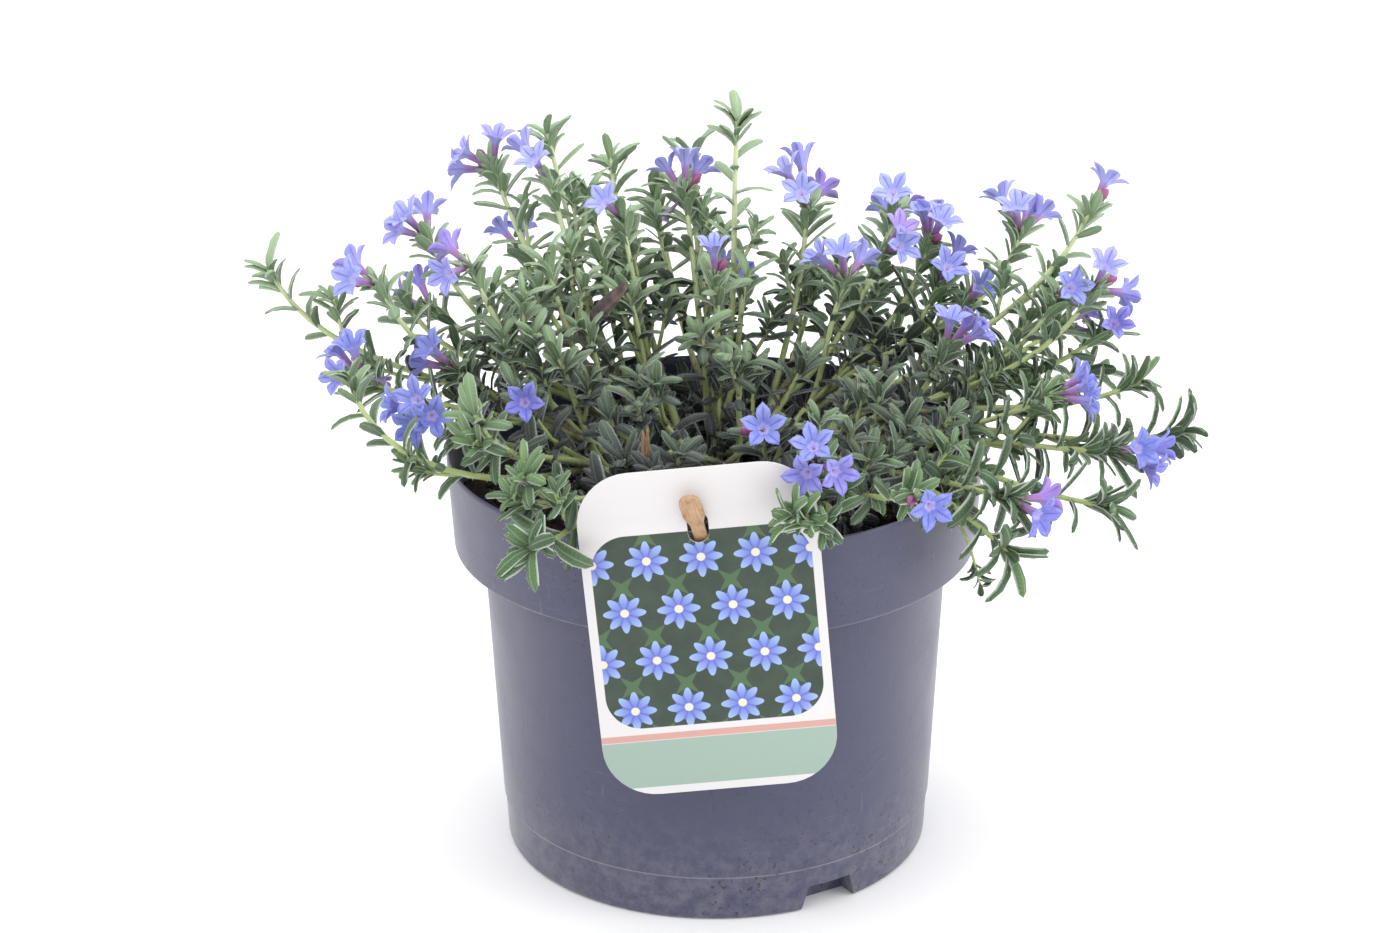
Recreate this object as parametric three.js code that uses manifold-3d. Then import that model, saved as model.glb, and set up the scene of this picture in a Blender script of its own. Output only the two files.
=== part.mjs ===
// A potted lithodora: a plastic nursery pot full of soil, leafy sprays that stand in it, their blue blooms,
// and a plant label held on the rim by a wooden peg. Millimetres, +Z up.
// The origin is the centre of the pot's base, on the surface it stands on. The label hangs on the -Y side.

import * as THREE from 'three';
import { mergeVertices } from 'three/addons/utils/BufferGeometryUtils.js';
import Module from 'manifold-3d';

const wasm = await Module();
wasm.setup();

// Pot
const POT_HEIGHT = 149;
const RIM_RADIUS = 95;
const COLLAR_HEIGHT = 34.4;
const COLLAR_FOOT_RADIUS = 93;
const BODY_TOP_RADIUS = 82.8;
const BASE_RADIUS = 76.5;
const WALL = 1.8;
const LIP = 0.9;
const FLOOR = 2.2;
const POT_SIDES = 32;
const FOOT_LINE_HEIGHT = 17;
const FOOT_LINE_STEP = 0.5;
const NOTCH_WIDTH = 23;
const NOTCH_TOP_WIDTH = 17;
const NOTCH_HEIGHT = 9.5;
const NOTCH_DEPTH = 9;
const NOTCH_AZIMUTHS = [-59, 121];
const POCKET_TOP = 30;
const FOOT_CHAMFER = 1;
const LIP_CHAMFER = 1;
const LIP_DEPTH = 3;
const DRAIN_RADIUS = 4.5;
const DRAIN_CIRCLE = 46;
const DRAINS = 6;
const DRAIN_SIDES = 6;
const CUT_THROUGH = 20;

// Soil
const SOIL_LEVEL = 128;
const SOIL_DOME = 3;
const SOIL_SIDES = POT_SIDES / 2;
const SOIL_EDGE = 0.8;
const GAP = 0.3;
const SLIVER = 0.05;

// Label, its peg and the split stick
const LABEL_WIDTH = 79;
const LABEL_HEIGHT = 117;
const LABEL_CORNER = 18;
const LABEL_THICKNESS = 0.8;
const LABEL_TURN = 5;
const LABEL_HOLE = new THREE.Vector3(-6, -(RIM_RADIUS + GAP), 157);
const HOLE_BELOW_TOP = 21;
const HOLE_WIDTH = 7;
const HOLE_HEIGHT = 11;
const PEG_LENGTH = 82;
const PEG_NECK = 4.6;
const PEG_HEAD = 7.2;
const PEG_HEAD_LENGTH = 16;
const PEG_SHOULDER = 6;
const SHOULDER_SLOPE = 4;
const PEG_THICKNESS = 1.8;
const PEG_DIRECTION = new THREE.Vector3(-0.21, -0.47, 0.86).normalize();
const STICK_TOP = new THREE.Vector3(-23.6, -55, 176);
const STICK_WIDTH = 2.6;
const STICK_THICKNESS = 1.4;
const STICK_SUNK = 16;
const SPLIT_LENGTH = 13;
const SPLIT_WIDTH = 0.5;

// Stems and leaves
const STEM_SUNK = 15;
const MAIN_RADIUS = 2.2;
const SHOOT_RADIUS = 1.25;
const TIP_RADIUS = 0.85;
const STEM_SIDES = 3;
const BRANCHED_SHARE = 0.6;
const COLLAR_RISE = 1.5;
const TURN_RISE = 8;
const TURN_STEPS = 2;
const SHOOT_STEPS = 3;
const USUAL_RISE = 65;

// A shoot's curve, as shares of its span: it sets out flat and pulls up towards its tip
const SET_OUT_REACH = 0.3;
const SET_OUT_RISE = 0.18;
const TIP_PULL = 0.35;

const LEAF_LENGTH = 13.5;
const LEAF_WIDTH = 3;
const LEAF_THICKNESS = 0.95;
const LEAF_CURL = 0.18;
const LOW_LEAF_GROWTH = 1.3;
const HIGH_LEAF_GROWTH = 0.95;
const LEAF_VARIETY = 0.2;
const LEAF_SPACING = 17;
const LEAF_GAP = 0.1;
const LEAF_RINGS = 2;
const BARE_SHARE = 0.3;
const LAST_LEAF = 0.97;
const LOW_OPENING = 62;
const HIGH_OPENING = 47;
const OPENING_VARIETY = 10;
const TURN_PER_LEAF = 137.5;
const OTHER_TURNS = [0, 40, -40, 80, -80];
const TUFT_LEAVES = 2;
const TUFT_PLACE = 0.985;
const TUFT_GROWTH = 0.75;
const TUFT_OPENING = 30;

// Blooms
const FLOWER_LENGTH = 16;
const FLOWER_RADIUS = 8.6;
const THROAT_RADIUS = 2.5;
const TUBE_RADIUS = 1.3;
const LOBE_CLEFT = 0.6;
const CUP_DEPTH = 3.4;
const CLEFT_DEPTH = 1.4;
const EYE_DEPTH = 3;
const THROAT_WALL = 0.6;
const LOBE_RISE = 0.5;
const SEAT_RISE = 1.6;
const BUD_LENGTH = 11;
const BUD_RADIUS = 1.7;
const BUD_WIDEST = 0.75;
const LOBES = 5;
const SIZES = [1, 0.88, 0.76];
const ROLLS = [0, 18, 36, 54];

// Each spray stands in the soil at `root` from the centre, towards `azimuth` (0 is +X, 90 is +Y, degrees).
// It forks at [radius, height]. A shoot ends at `tip`, where it rises at `rise` degrees. A flower or bud
// there faces [azimuth, elevation], on a stalk of the third number where it is longer than usual.
const SPRAYS = [
  { azimuth: 176, root: 30, fork: [46, 150], shoots: [
    { tip: [-117, 10, 204], flowers: [[-135, 25], [140, 25]], buds: [[180, 10]] },
    { tip: [-158, 25, 207] },
    { tip: [-85, 15, 209], flowers: [[130, 20], [-125, 5]] },
    { tip: [-90, 5, 175], rise: 40, flowers: [[-150, 45], [165, 5]] },
    { tip: [-122, -5, 176], rise: 30, flowers: [[175, 50], [-120, 70], [-125, 20]] },
  ] },
  { azimuth: 155, root: 28, fork: [42, 152], shoots: [
    { tip: [-102, 45, 210], flowers: [[-155, 50], [-150, 25], [95, 35]] },
    { tip: [-111, 40, 190] },
    { tip: [-60, 35, 206] },
    { tip: [-46, 15, 187] },
  ] },
  { azimuth: 132, root: 30, fork: [46, 154], shoots: [
    { tip: [-80, 80, 225], flowers: [[-55, 80], [-170, 35], [170, 0]], buds: [[150, 45]] },
    { tip: [-59, 70, 223], flowers: [[-135, 55], [145, 45, 21]] },
    { tip: [-61, 95, 236] },
    { tip: [-41, 55, 200] },
  ] },
  { azimuth: 114, root: 26, fork: [40, 152], shoots: [
    { tip: [-38, 110, 222] },
    { tip: [-46, 90, 211] },
    { tip: [-33, 60, 212], flowers: [[-130, 45]] },
    { tip: [-31, 35, 194] },
  ] },
  { azimuth: 88, root: 28, fork: [38, 152], shoots: [
    { tip: [-10, 80, 215], flowers: [[140, 45], [85, 75], [60, 35]], buds: [[0, 55]] },
    { tip: [-8, 112, 224] },
    { tip: [9, 65, 249], rise: 80 },
    { tip: [1, 30, 198], flowers: [[-115, 80]], buds: [[-20, 70]] },
    { tip: [12, 45, 196] },
    { tip: [-5, 12, 185] },
  ] },
  { azimuth: 60, root: 30, fork: [46, 152], shoots: [
    { tip: [35, 75, 211], flowers: [[180, 60, 21], [105, 60, 22], [-110, 45], [65, 20]] },
    { tip: [68, 95, 204], flowers: [[-100, 50]] },
    { tip: [62, 63, 198], flowers: [[-35, 55], [-60, 25]] },
  ] },
  { azimuth: 38, root: 26, fork: [42, 152], shoots: [
    { tip: [47, 35, 196], flowers: [[-175, 45], [-115, 70], [60, 25]] },
    { tip: [79, 70, 198], flowers: [[165, 80], [80, 60], [-50, 60]], buds: [[-60, 40]] },
    { tip: [114, 85, 197], flowers: [[130, 50, 21], [-120, 70], [70, 30], [40, 30]] },
    { tip: [82, 60, 187], flowers: [[40, 45, 18], [-70, 45]] },
  ] },
  { azimuth: 20, root: 32, fork: [48, 152], shoots: [
    { tip: [91, 52, 181], flowers: [[-50, 45]], buds: [[0, 60]] },
    { tip: [135, 45, 219], flowers: [[45, 50]], buds: [[10, 50]] },
    { tip: [114, 30, 186] },
  ] },
  { azimuth: 5, root: 24, fork: [42, 150], shoots: [
    { tip: [122, 25, 194], flowers: [[-70, 30]] },
    { tip: [134, 20, 198], flowers: [[-65, 55], [20, -15]], buds: [[20, 20]] },
    { tip: [139, 25, 181], rise: 40, flowers: [[-80, 30]] },
    { tip: [151, 5, 170], rise: 30 },
  ] },
  { azimuth: -10, root: 34, fork: [52, 150], shoots: [
    { tip: [80, 0, 181], flowers: [[-35, 80], [-10, 35, 18], [35, 40, 17]] },
    { tip: [115, -20, 173], rise: 30, flowers: [[30, 20], [-15, 20], [-20, 0]] },
    { tip: [136, -30, 157], rise: 5, flowers: [[-50, 20], [10, 0, 19], [-30, -15, 18]] },
    { tip: [164, -10, 157], rise: 20 },
  ] },
  { azimuth: -30, root: 28, fork: [48, 150], shoots: [
    { tip: [98, -70, 156], rise: 5, flowers: [[30, -10], [-50, -10]] },
    { tip: [134, -55, 147], rise: 0 },
    { tip: [98, -80, 140], rise: -30 },
    { tip: [65, -45, 173] },
    { tip: [47, -20, 173] },
  ] },
  { azimuth: -60, root: 34, fork: [54, 148], shoots: [
    { tip: [65, -95, 168], rise: 30, flowers: [[-75, 0]], buds: [[-110, 0]] },
    { tip: [33, -84, 174], flowers: [[-100, 45], [-105, 5, 19], [-65, 5, 18]] },
    { tip: [25, -108, 164], rise: 40, bend: [[44, -84, 164], [40, -108, 158]] },
    { tip: [51, -70, 170] },
    { tip: [16, -62, 174], flowers: [[-90, 35]], buds: [[-150, 30]] },
  ] },
  { azimuth: -118, root: 34, fork: [50, 148], shoots: [
    { tip: [-31, -55, 165] },
    { tip: [-12, -62, 169] },
    { tip: [-63, -85, 171] },
    { tip: [-61, -104, 153], rise: 15 },
  ] },
  { azimuth: -157, root: 30, fork: [46, 148], shoots: [
    { tip: [-63, -30, 174], flowers: [[-95, 25]] },
    { tip: [-80, -62, 184] },
    { tip: [-96, -30, 172], rise: 40, flowers: [[-165, 15, 17], [-120, 40], [-115, 0], [-85, 15]] },
    { tip: [-123, -50, 193], bend: [[-70, -45, 150], [-114, -64, 160]] },
    { tip: [-54, -10, 185] },
  ] },
  { azimuth: -80, root: 10, fork: [12, 146], shoots: [
    { tip: [-26, -15, 179] },
    { tip: [-36, -35, 172] },
    { tip: [11, -8, 182] },
    { tip: [32, 4, 178] },
  ] },
  { azimuth: 66, root: 56, fork: [74, 150], shoots: [
    { tip: [70, 118, 188], flowers: [[60, 40], [110, 30]] },
    { tip: [40, 132, 168], rise: 30 },
    { tip: [98, 105, 165], rise: 30 },
  ] },
  { azimuth: 92, root: 56, fork: [72, 150], shoots: [
    { tip: [5, 135, 158], rise: 30, flowers: [[60, 20], [120, 25], [95, 60]] },
    { tip: [-22, 128, 202] },
  ] },
  { azimuth: 124, root: 58, fork: [76, 150], shoots: [
    { tip: [-72, 114, 182], flowers: [[140, 35], [95, 30]] },
    { tip: [-104, 84, 170], rise: 30, flowers: [[170, 20], [120, 40]] },
  ] },
  { azimuth: 28, root: 60, fork: [78, 150], shoots: [
    { tip: [128, 74, 166], rise: 30, flowers: [[50, 30], [0, 25]] },
    { tip: [140, 50, 158], rise: 20 },
  ] },
];

// Small helpers
const { degToRad: radians, lerp } = THREE.MathUtils;

function facing([azimuth, elevation]) {
  const flat = Math.cos(radians(elevation));
  return new THREE.Vector3(
    flat * Math.cos(radians(azimuth)), flat * Math.sin(radians(azimuth)), Math.sin(radians(elevation)));
}

// A repeatable draw from 0 to 1
let state = 20261;
function draw() {
  state = (state * 16807) % 2147483647;
  return state / 2147483647;
}

function solidFrom(geometry) {
  const bare = geometry.clone();
  bare.deleteAttribute('normal');
  bare.deleteAttribute('uv');
  const merged = mergeVertices(bare, 1e-4);
  const corners = [];
  for (let i = 0; i < merged.index.count; i += 3) {
    const [a, b, c] = [0, 1, 2].map((k) => merged.index.getX(i + k));
    if (a !== b && b !== c && c !== a) corners.push(a, b, c);
  }
  return new wasm.Manifold(new wasm.Mesh({
    numProp: 3,
    vertProperties: new Float32Array(merged.attributes.position.array),
    triVerts: new Uint32Array(corners),
  }));
}

function geometryFrom(solid) {
  const mesh = solid.getMesh();
  const geometry = new THREE.BufferGeometry();
  geometry.setAttribute('position', new THREE.BufferAttribute(new Float32Array(mesh.vertProperties), 3));
  geometry.setIndex(new THREE.BufferAttribute(new Uint32Array(mesh.triVerts), 1));
  geometry.computeVertexNormals();
  return geometry;
}

// One body of the solids, without the slivers that their crossings leave
function joined(solids) {
  return wasm.Manifold.union(solids).simplify(SLIVER);
}

const group = new THREE.Group();
const placed = [];

function place(name, solid, material) {
  placed.push({ name, solid, box: solid.boundingBox() });
  const mesh = new THREE.Mesh(geometryFrom(solid), material);
  mesh.name = name;
  group.add(mesh);
}

function boxed(solid) {
  return { solid, box: solid.boundingBox() };
}

// True where the solid keeps `gap` to each of the others
function isClear(solid, gap, others) {
  const box = solid.boundingBox();
  return others.every((other) => {
    const apart = [0, 1, 2].some(
      (k) => box.min[k] - gap > other.box.max[k] || other.box.min[k] - gap > box.max[k]);
    return apart || solid.minGap(other.solid, gap * 2) >= gap;
  });
}

// The point on the straight pieces that a stem with this many steps is drawn with
function pointOnStem(curve, along, steps) {
  const piece = Math.min(Math.floor(along * steps), steps - 1);
  const [low, high] = [curve.getPoint(piece / steps), curve.getPoint((piece + 1) / steps)];
  return low.lerp(high, along * steps - piece);
}

// Bends a geometry whose length runs from y = 0 to 1: each point goes to the curve there, with its x along
// the sideways direction of the bend and its z square to both
function bent(geometry, curve, sideways) {
  const position = geometry.attributes.position;
  for (let i = 0; i < position.count; i += 1) {
    const along = THREE.MathUtils.clamp(position.getY(i), 0, 1);
    const tangent = curve.getTangent(along);
    const side = sideways.clone().addScaledVector(tangent, -sideways.dot(tangent)).normalize();
    const across = new THREE.Vector3().crossVectors(side, tangent);
    const point = curve.getPoint(along)
      .addScaledVector(side, position.getX(i))
      .addScaledVector(across, position.getZ(i));
    position.setXYZ(i, point.x, point.y, point.z);
  }
  return geometry;
}

// A tube through the points, with a radius at each
function tubeSolid(points, radii, sideways) {
  const last = points.length - 1;
  const tube = new THREE.CylinderGeometry(1, 1, last, STEM_SIDES, last).translate(0, last / 2, 0);
  const position = tube.attributes.position;
  for (let i = 0; i < position.count; i += 1) {
    const k = Math.round(position.getY(i));
    const heading = points[Math.min(k + 1, last)].clone().sub(points[Math.max(k - 1, 0)]).normalize();
    const side = sideways.clone().addScaledVector(heading, -sideways.dot(heading)).normalize();
    const across = new THREE.Vector3().crossVectors(side, heading);
    const corner = points[k].clone()
      .addScaledVector(side, radii[k] * position.getX(i))
      .addScaledVector(across, radii[k] * position.getZ(i));
    position.setXYZ(i, ...corner);
  }
  return solidFrom(tube);
}

function material(color, roughness) {
  return new THREE.MeshStandardMaterial({ color, roughness, metalness: 0 });
}

const potPlastic = material(0x5d5c6e, 0.5);
const peat = material(0x2b2422, 0.95);
const card = material(0xeeeeea, 0.45);
const pegWood = material(0xb08a63, 0.7);
const splitWood = material(0xa9825e, 0.75);
const foliage = material(0x5c7d4e, 0.7);
const petals = material(0x7c84ea, 0.6);

// Pot: a turned shell with a collar, cut by the drain holes and the two notches of its foot
function wallRadius(height) {
  return THREE.MathUtils.mapLinear(height, 0, POT_HEIGHT - COLLAR_HEIGHT, BASE_RADIUS, BODY_TOP_RADIUS);
}

function turned(points, sides) {
  const profile = points.map(([radius, height]) => new THREE.Vector2(radius, height));
  return solidFrom(new THREE.LatheGeometry(profile, sides).rotateX(Math.PI / 2));
}

const collarFoot = POT_HEIGHT - COLLAR_HEIGHT;

function notchSolid(azimuth, grown) {
  const half = NOTCH_WIDTH / 2 + grown;
  const topHalf = NOTCH_TOP_WIDTH / 2 + grown;
  const top = NOTCH_HEIGHT + grown;
  const corners = [[-half, -1], [half, -1], [topHalf, top], [-topHalf, top]];
  const outline = new THREE.Shape(corners.map(([x, y]) => new THREE.Vector2(x, y)));
  const depth = NOTCH_DEPTH + grown;
  const block = new THREE.ExtrudeGeometry(outline, { depth: depth + CUT_THROUGH, bevelEnabled: false });
  block.rotateX(Math.PI / 2).translate(0, -(BASE_RADIUS - depth), 0);
  return solidFrom(block.rotateZ(radians(azimuth + 90)));
}

function potSolid() {
  const shell = turned([
    [0, 0], [BASE_RADIUS - FOOT_CHAMFER, 0], [BASE_RADIUS, FOOT_CHAMFER],
    [wallRadius(FOOT_LINE_HEIGHT), FOOT_LINE_HEIGHT],
    [wallRadius(FOOT_LINE_HEIGHT) + FOOT_LINE_STEP, FOOT_LINE_HEIGHT + FOOT_LINE_STEP],
    [BODY_TOP_RADIUS, collarFoot], [COLLAR_FOOT_RADIUS, collarFoot], [RIM_RADIUS, POT_HEIGHT - LIP_CHAMFER],
    [RIM_RADIUS - LIP, POT_HEIGHT], [RIM_RADIUS - WALL, POT_HEIGHT - LIP_DEPTH],
    [COLLAR_FOOT_RADIUS - WALL, collarFoot + WALL], [BODY_TOP_RADIUS - WALL, collarFoot + WALL],
    [BASE_RADIUS - WALL, FLOOR], [0, FLOOR]], POT_SIDES);
  const inside = turned([
    [0, FLOOR / 2], [BASE_RADIUS - WALL / 2, FLOOR / 2],
    [wallRadius(POCKET_TOP) - WALL / 2, POCKET_TOP], [0, POCKET_TOP]], POT_SIDES);
  const pockets = NOTCH_AZIMUTHS.map((azimuth) => notchSolid(azimuth, WALL).intersect(inside));
  const notches = NOTCH_AZIMUTHS.map((azimuth) => notchSolid(azimuth, 0));
  const drains = Array.from({ length: DRAINS }, (_, k) => {
    const hole = new THREE.CylinderGeometry(DRAIN_RADIUS, DRAIN_RADIUS, 4 * FLOOR, DRAIN_SIDES);
    const azimuth = NOTCH_AZIMUTHS[0] + (360 / DRAINS) * (k + 0.5);
    const middle = facing([azimuth, 0]).multiplyScalar(DRAIN_CIRCLE);
    return solidFrom(hole.rotateX(Math.PI / 2).translate(...middle));
  });
  return joined([shell, ...pockets]).subtract(joined([...notches, ...drains]));
}

// The peg is a flat stick with a wider round head, drawn along +Y and then laid along its direction
function pegSolid(grown) {
  const neck = PEG_NECK / 2 + grown;
  const head = PEG_HEAD / 2 + grown;
  const outline = new THREE.Shape();
  outline.moveTo(-neck, -PEG_LENGTH - grown);
  outline.lineTo(neck, -PEG_LENGTH - grown);
  outline.lineTo(neck, PEG_SHOULDER - SHOULDER_SLOPE);
  outline.lineTo(head, PEG_SHOULDER);
  outline.lineTo(head, PEG_HEAD_LENGTH - head + grown);
  outline.absarc(0, PEG_HEAD_LENGTH - head + grown, head, 0, Math.PI, false);
  outline.lineTo(-head, PEG_SHOULDER);
  outline.lineTo(-neck, PEG_SHOULDER - SHOULDER_SLOPE);
  const depth = PEG_THICKNESS + 2 * grown;
  const stick = new THREE.ExtrudeGeometry(outline, { depth, bevelEnabled: false, curveSegments: 3 });
  stick.translate(0, 0, -depth / 2);
  const side = new THREE.Vector3(1, 0, 0).addScaledVector(PEG_DIRECTION, -PEG_DIRECTION.x).normalize();
  const out = new THREE.Vector3().crossVectors(side, PEG_DIRECTION);
  const middle = LABEL_HOLE.clone().setY(LABEL_HOLE.y - LABEL_THICKNESS / 2);
  stick.applyMatrix4(new THREE.Matrix4().makeBasis(side, PEG_DIRECTION, out).setPosition(middle));
  return solidFrom(stick);
}

function roundedOutline(width, height, corner, path) {
  const [x, y] = [width / 2 - corner, height / 2 - corner];
  path.absarc(x, y, corner, 0, Math.PI / 2, false);
  path.absarc(-x, y, corner, Math.PI / 2, Math.PI, false);
  path.absarc(-x, -y, corner, Math.PI, 1.5 * Math.PI, false);
  path.absarc(x, -y, corner, 1.5 * Math.PI, 2 * Math.PI, false);
  return path;
}

function labelSolid() {
  const plate = roundedOutline(LABEL_WIDTH, LABEL_HEIGHT, LABEL_CORNER, new THREE.Shape());
  const hole = new THREE.Path();
  const half = HOLE_WIDTH / 2;
  const straight = (HOLE_HEIGHT - HOLE_WIDTH) / 2;
  const level = LABEL_HEIGHT / 2 - HOLE_BELOW_TOP;
  hole.absarc(0, level + straight, half, 0, Math.PI, false);
  hole.absarc(0, level - straight, half, Math.PI, 2 * Math.PI, false);
  plate.holes.push(hole);
  const options = { depth: LABEL_THICKNESS, bevelEnabled: false, curveSegments: 2 };
  const sheet = new THREE.ExtrudeGeometry(plate, options);
  sheet.translate(0, -level, 0).rotateX(Math.PI / 2).rotateY(-radians(LABEL_TURN));
  return solidFrom(sheet.translate(LABEL_HOLE.x, LABEL_HOLE.y, LABEL_HOLE.z));
}

function stickSolid(grown) {
  const height = STICK_TOP.z - SOIL_LEVEL + STICK_SUNK + grown;
  const stick = new THREE.BoxGeometry(STICK_WIDTH + 2 * grown, STICK_THICKNESS + 2 * grown, height);
  const slit = new THREE.BoxGeometry(SPLIT_WIDTH, 3 * STICK_THICKNESS, 2 * SPLIT_LENGTH);
  const middle = STICK_TOP.clone().setZ(STICK_TOP.z - height / 2);
  const whole = solidFrom(stick.translate(...middle));
  return grown ? whole : whole.subtract(solidFrom(slit.translate(...STICK_TOP)));
}

// Soil: a plug that fills the pot, gently domed, with a plain hole for each thing that stands in it
function rootOf(spray) {
  return facing([spray.azimuth, 0]).multiplyScalar(spray.root);
}

function soilSolid() {
  const share = (SOIL_LEVEL - collarFoot) / COLLAR_HEIGHT;
  const brim = lerp(COLLAR_FOOT_RADIUS, RIM_RADIUS, share) - WALL - 2 * GAP;
  const plug = turned([
    [0, FLOOR + GAP], [BASE_RADIUS - WALL - GAP, FLOOR + GAP],
    [BODY_TOP_RADIUS - WALL - GAP, collarFoot + WALL],
    [BODY_TOP_RADIUS - WALL - GAP, collarFoot + WALL + GAP],
    [brim - SOIL_EDGE, collarFoot + WALL + GAP], [brim, SOIL_LEVEL - SOIL_EDGE],
    [0.8 * brim, SOIL_LEVEL + SOIL_DOME / 6], [0.5 * brim, SOIL_LEVEL + SOIL_DOME / 2],
    [0, SOIL_LEVEL + SOIL_DOME]], SOIL_SIDES);
  const cuts = NOTCH_AZIMUTHS.map((azimuth) => notchSolid(azimuth, WALL + GAP));
  for (const spray of SPRAYS) {
    const radius = MAIN_RADIUS + 2 * GAP;
    const ends = [-STEM_SUNK - GAP, STEM_SUNK].map((rise) => rootOf(spray).setZ(SOIL_LEVEL + rise));
    cuts.push(tubeSolid(ends, [radius, radius], facing([spray.azimuth + 90, 0])));
  }
  cuts.push(pegSolid(GAP), stickSolid(GAP));
  return plug.subtract(joined(cuts));
}

// The line that a shoot follows from its fork to its tip, rising at its end
function shootCurve(fork, shoot) {
  const tip = new THREE.Vector3(...shoot.tip);
  if (shoot.bend) {
    const [low, high] = shoot.bend.map((point) => new THREE.Vector3(...point));
    return new THREE.CubicBezierCurve3(fork, low, high, tip);
  }
  const span = tip.clone().sub(fork);
  const outward = new THREE.Vector3(span.x, span.y, 0).normalize();
  const rise = radians(shoot.rise ?? USUAL_RISE);
  const heading = outward.clone().multiplyScalar(Math.cos(rise)).setZ(Math.sin(rise));
  const low = fork.clone().addScaledVector(outward, SET_OUT_REACH * span.length());
  low.z = fork.z + SET_OUT_RISE * span.length();
  const high = tip.clone().addScaledVector(heading, -TIP_PULL * span.length());
  return new THREE.CubicBezierCurve3(fork, low, high, tip);
}

// A spray's main stem rises out of the soil, bends over and goes on into its furthest shoot. The nearer
// shoots leave it one below the other.
function sprayStems(spray) {
  const sideways = facing([spray.azimuth + 90, 0]);
  const foot = rootOf(spray).setZ(SOIL_LEVEL - STEM_SUNK);
  const collar = rootOf(spray).setZ(SOIL_LEVEL + SOIL_DOME + COLLAR_RISE);
  const [reach, height] = spray.fork;
  const fork = facing([spray.azimuth, 0]).multiplyScalar(reach).setZ(height);
  const turn = new THREE.QuadraticBezierCurve3(collar, collar.clone().setZ(collar.z + TURN_RISE), fork);
  const byReach = spray.shoots
    .map((shoot, k) => ({ k, reach: Math.hypot(shoot.tip[0], shoot.tip[1]) }))
    .sort((a, b) => b.reach - a.reach)
    .map(({ k }) => k);
  const curves = spray.shoots.map((shoot, k) => {
    const share = byReach.indexOf(k) / spray.shoots.length;
    return shootCurve(pointOnStem(turn, 1 - BRANCHED_SHARE * share, TURN_STEPS), shoot);
  });
  const leader = byReach[0];
  const stalks = curves.map((curve, k) => {
    const line = curve.getPoints(SHOOT_STEPS);
    const radii = line.map((_, i) => lerp(SHOOT_RADIUS, TIP_RADIUS, i / SHOOT_STEPS));
    if (k !== leader) return tubeSolid(line, radii, sideOf(curve));
    const bend = turn.getPoints(TURN_STEPS).slice(0, -1);
    const thick = bend.map((_, i) => lerp(MAIN_RADIUS, SHOOT_RADIUS, i / TURN_STEPS));
    return tubeSolid([foot, ...bend, ...line], [MAIN_RADIUS, ...thick, ...radii], sideways);
  });
  return { stalks, curves, leader, stems: joined(stalks) };
}

function sideOf(curve) {
  const span = curve.v3.clone().sub(curve.v0);
  return new THREE.Vector3(-span.y, span.x, 0).normalize();
}

// One leaf: a slim three-sided blade with a keel below, sunk in the stem and curling away from it
function leafSolid(curve, along, turn, opening, length, width, rings) {
  const root = pointOnStem(curve, along, SHOOT_STEPS);
  const tangent = curve.getTangent(along);
  const side = new THREE.Vector3(-tangent.y, tangent.x, 0.001).normalize();
  const across = new THREE.Vector3().crossVectors(tangent, side);
  const away = side.multiplyScalar(Math.cos(turn)).addScaledVector(across, Math.sin(turn));
  const heading = tangent.clone().multiplyScalar(Math.cos(opening)).addScaledVector(away, Math.sin(opening));
  const face = tangent.clone().multiplyScalar(Math.sin(opening)).addScaledVector(away, -Math.cos(opening));
  const spine = new THREE.QuadraticBezierCurve3(
    root, root.clone().addScaledVector(heading, length / 2),
    root.clone().addScaledVector(heading, length).addScaledVector(face, -LEAF_CURL * length));
  const blade = new THREE.SphereGeometry(1, 3, rings + 1);
  blade.scale(LEAF_THICKNESS / 1.5, 0.5, width / Math.sqrt(3) / 0.866).translate(0, 0.5, 0);
  return solidFrom(bent(blade, spine, face));
}

// A flower along +Z: a slim three-sided tube that opens into five pointed lobes round a sunk throat
function flowerGeometry(length, size) {
  const points = [new THREE.Vector3(0, 0, length - EYE_DEPTH)];
  const step = (2 * Math.PI) / LOBES;
  const ring = (radius, height, turn) => points.push(
    new THREE.Vector3(radius * Math.cos(turn), radius * Math.sin(turn), height)) - 1;
  const radius = FLOWER_RADIUS * size;
  const foot = [0, 1, 2].map((k) => ring(TUBE_RADIUS, 0, (0.5 + (k * LOBES) / 3) * step));
  const throat = [];
  const rim = [];
  for (let k = 0; k < LOBES; k += 1) {
    throat.push(ring(THROAT_RADIUS, length - CUP_DEPTH - THROAT_WALL, k * step));
    rim.push([
      ring(radius * LOBE_CLEFT, length - CLEFT_DEPTH, (k - 0.5) * step),
      ring(radius, length + LOBE_RISE, k * step),
    ]);
  }
  const faces = [foot[0], foot[2], foot[1]];
  for (let k = 0; k < LOBES; k += 1) {
    const next = (k + 1) % LOBES;
    const edge = [...rim[k], rim[next][0]];
    for (const i of [0, 1]) faces.push(0, edge[i], edge[i + 1], throat[k], edge[i + 1], edge[i]);
    faces.push(throat[k], throat[next], edge[2]);
  }
  // The foot's corners and the throat's corners in turn, joined by the tube's eight faces
  for (const [a, b, c] of [[0, 0, 1], [1, 1, 2], [1, 2, 3], [2, 3, 4], [0, 4, 0]]) {
    faces.push(foot[a], throat[c], throat[b]);
  }
  for (const [a, b, c] of [[0, 1, 1], [1, 2, 3], [2, 0, 4]]) faces.push(foot[a], foot[b], throat[c]);
  const geometry = new THREE.BufferGeometry().setFromPoints(points);
  geometry.setIndex(faces);
  return geometry;
}

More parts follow.
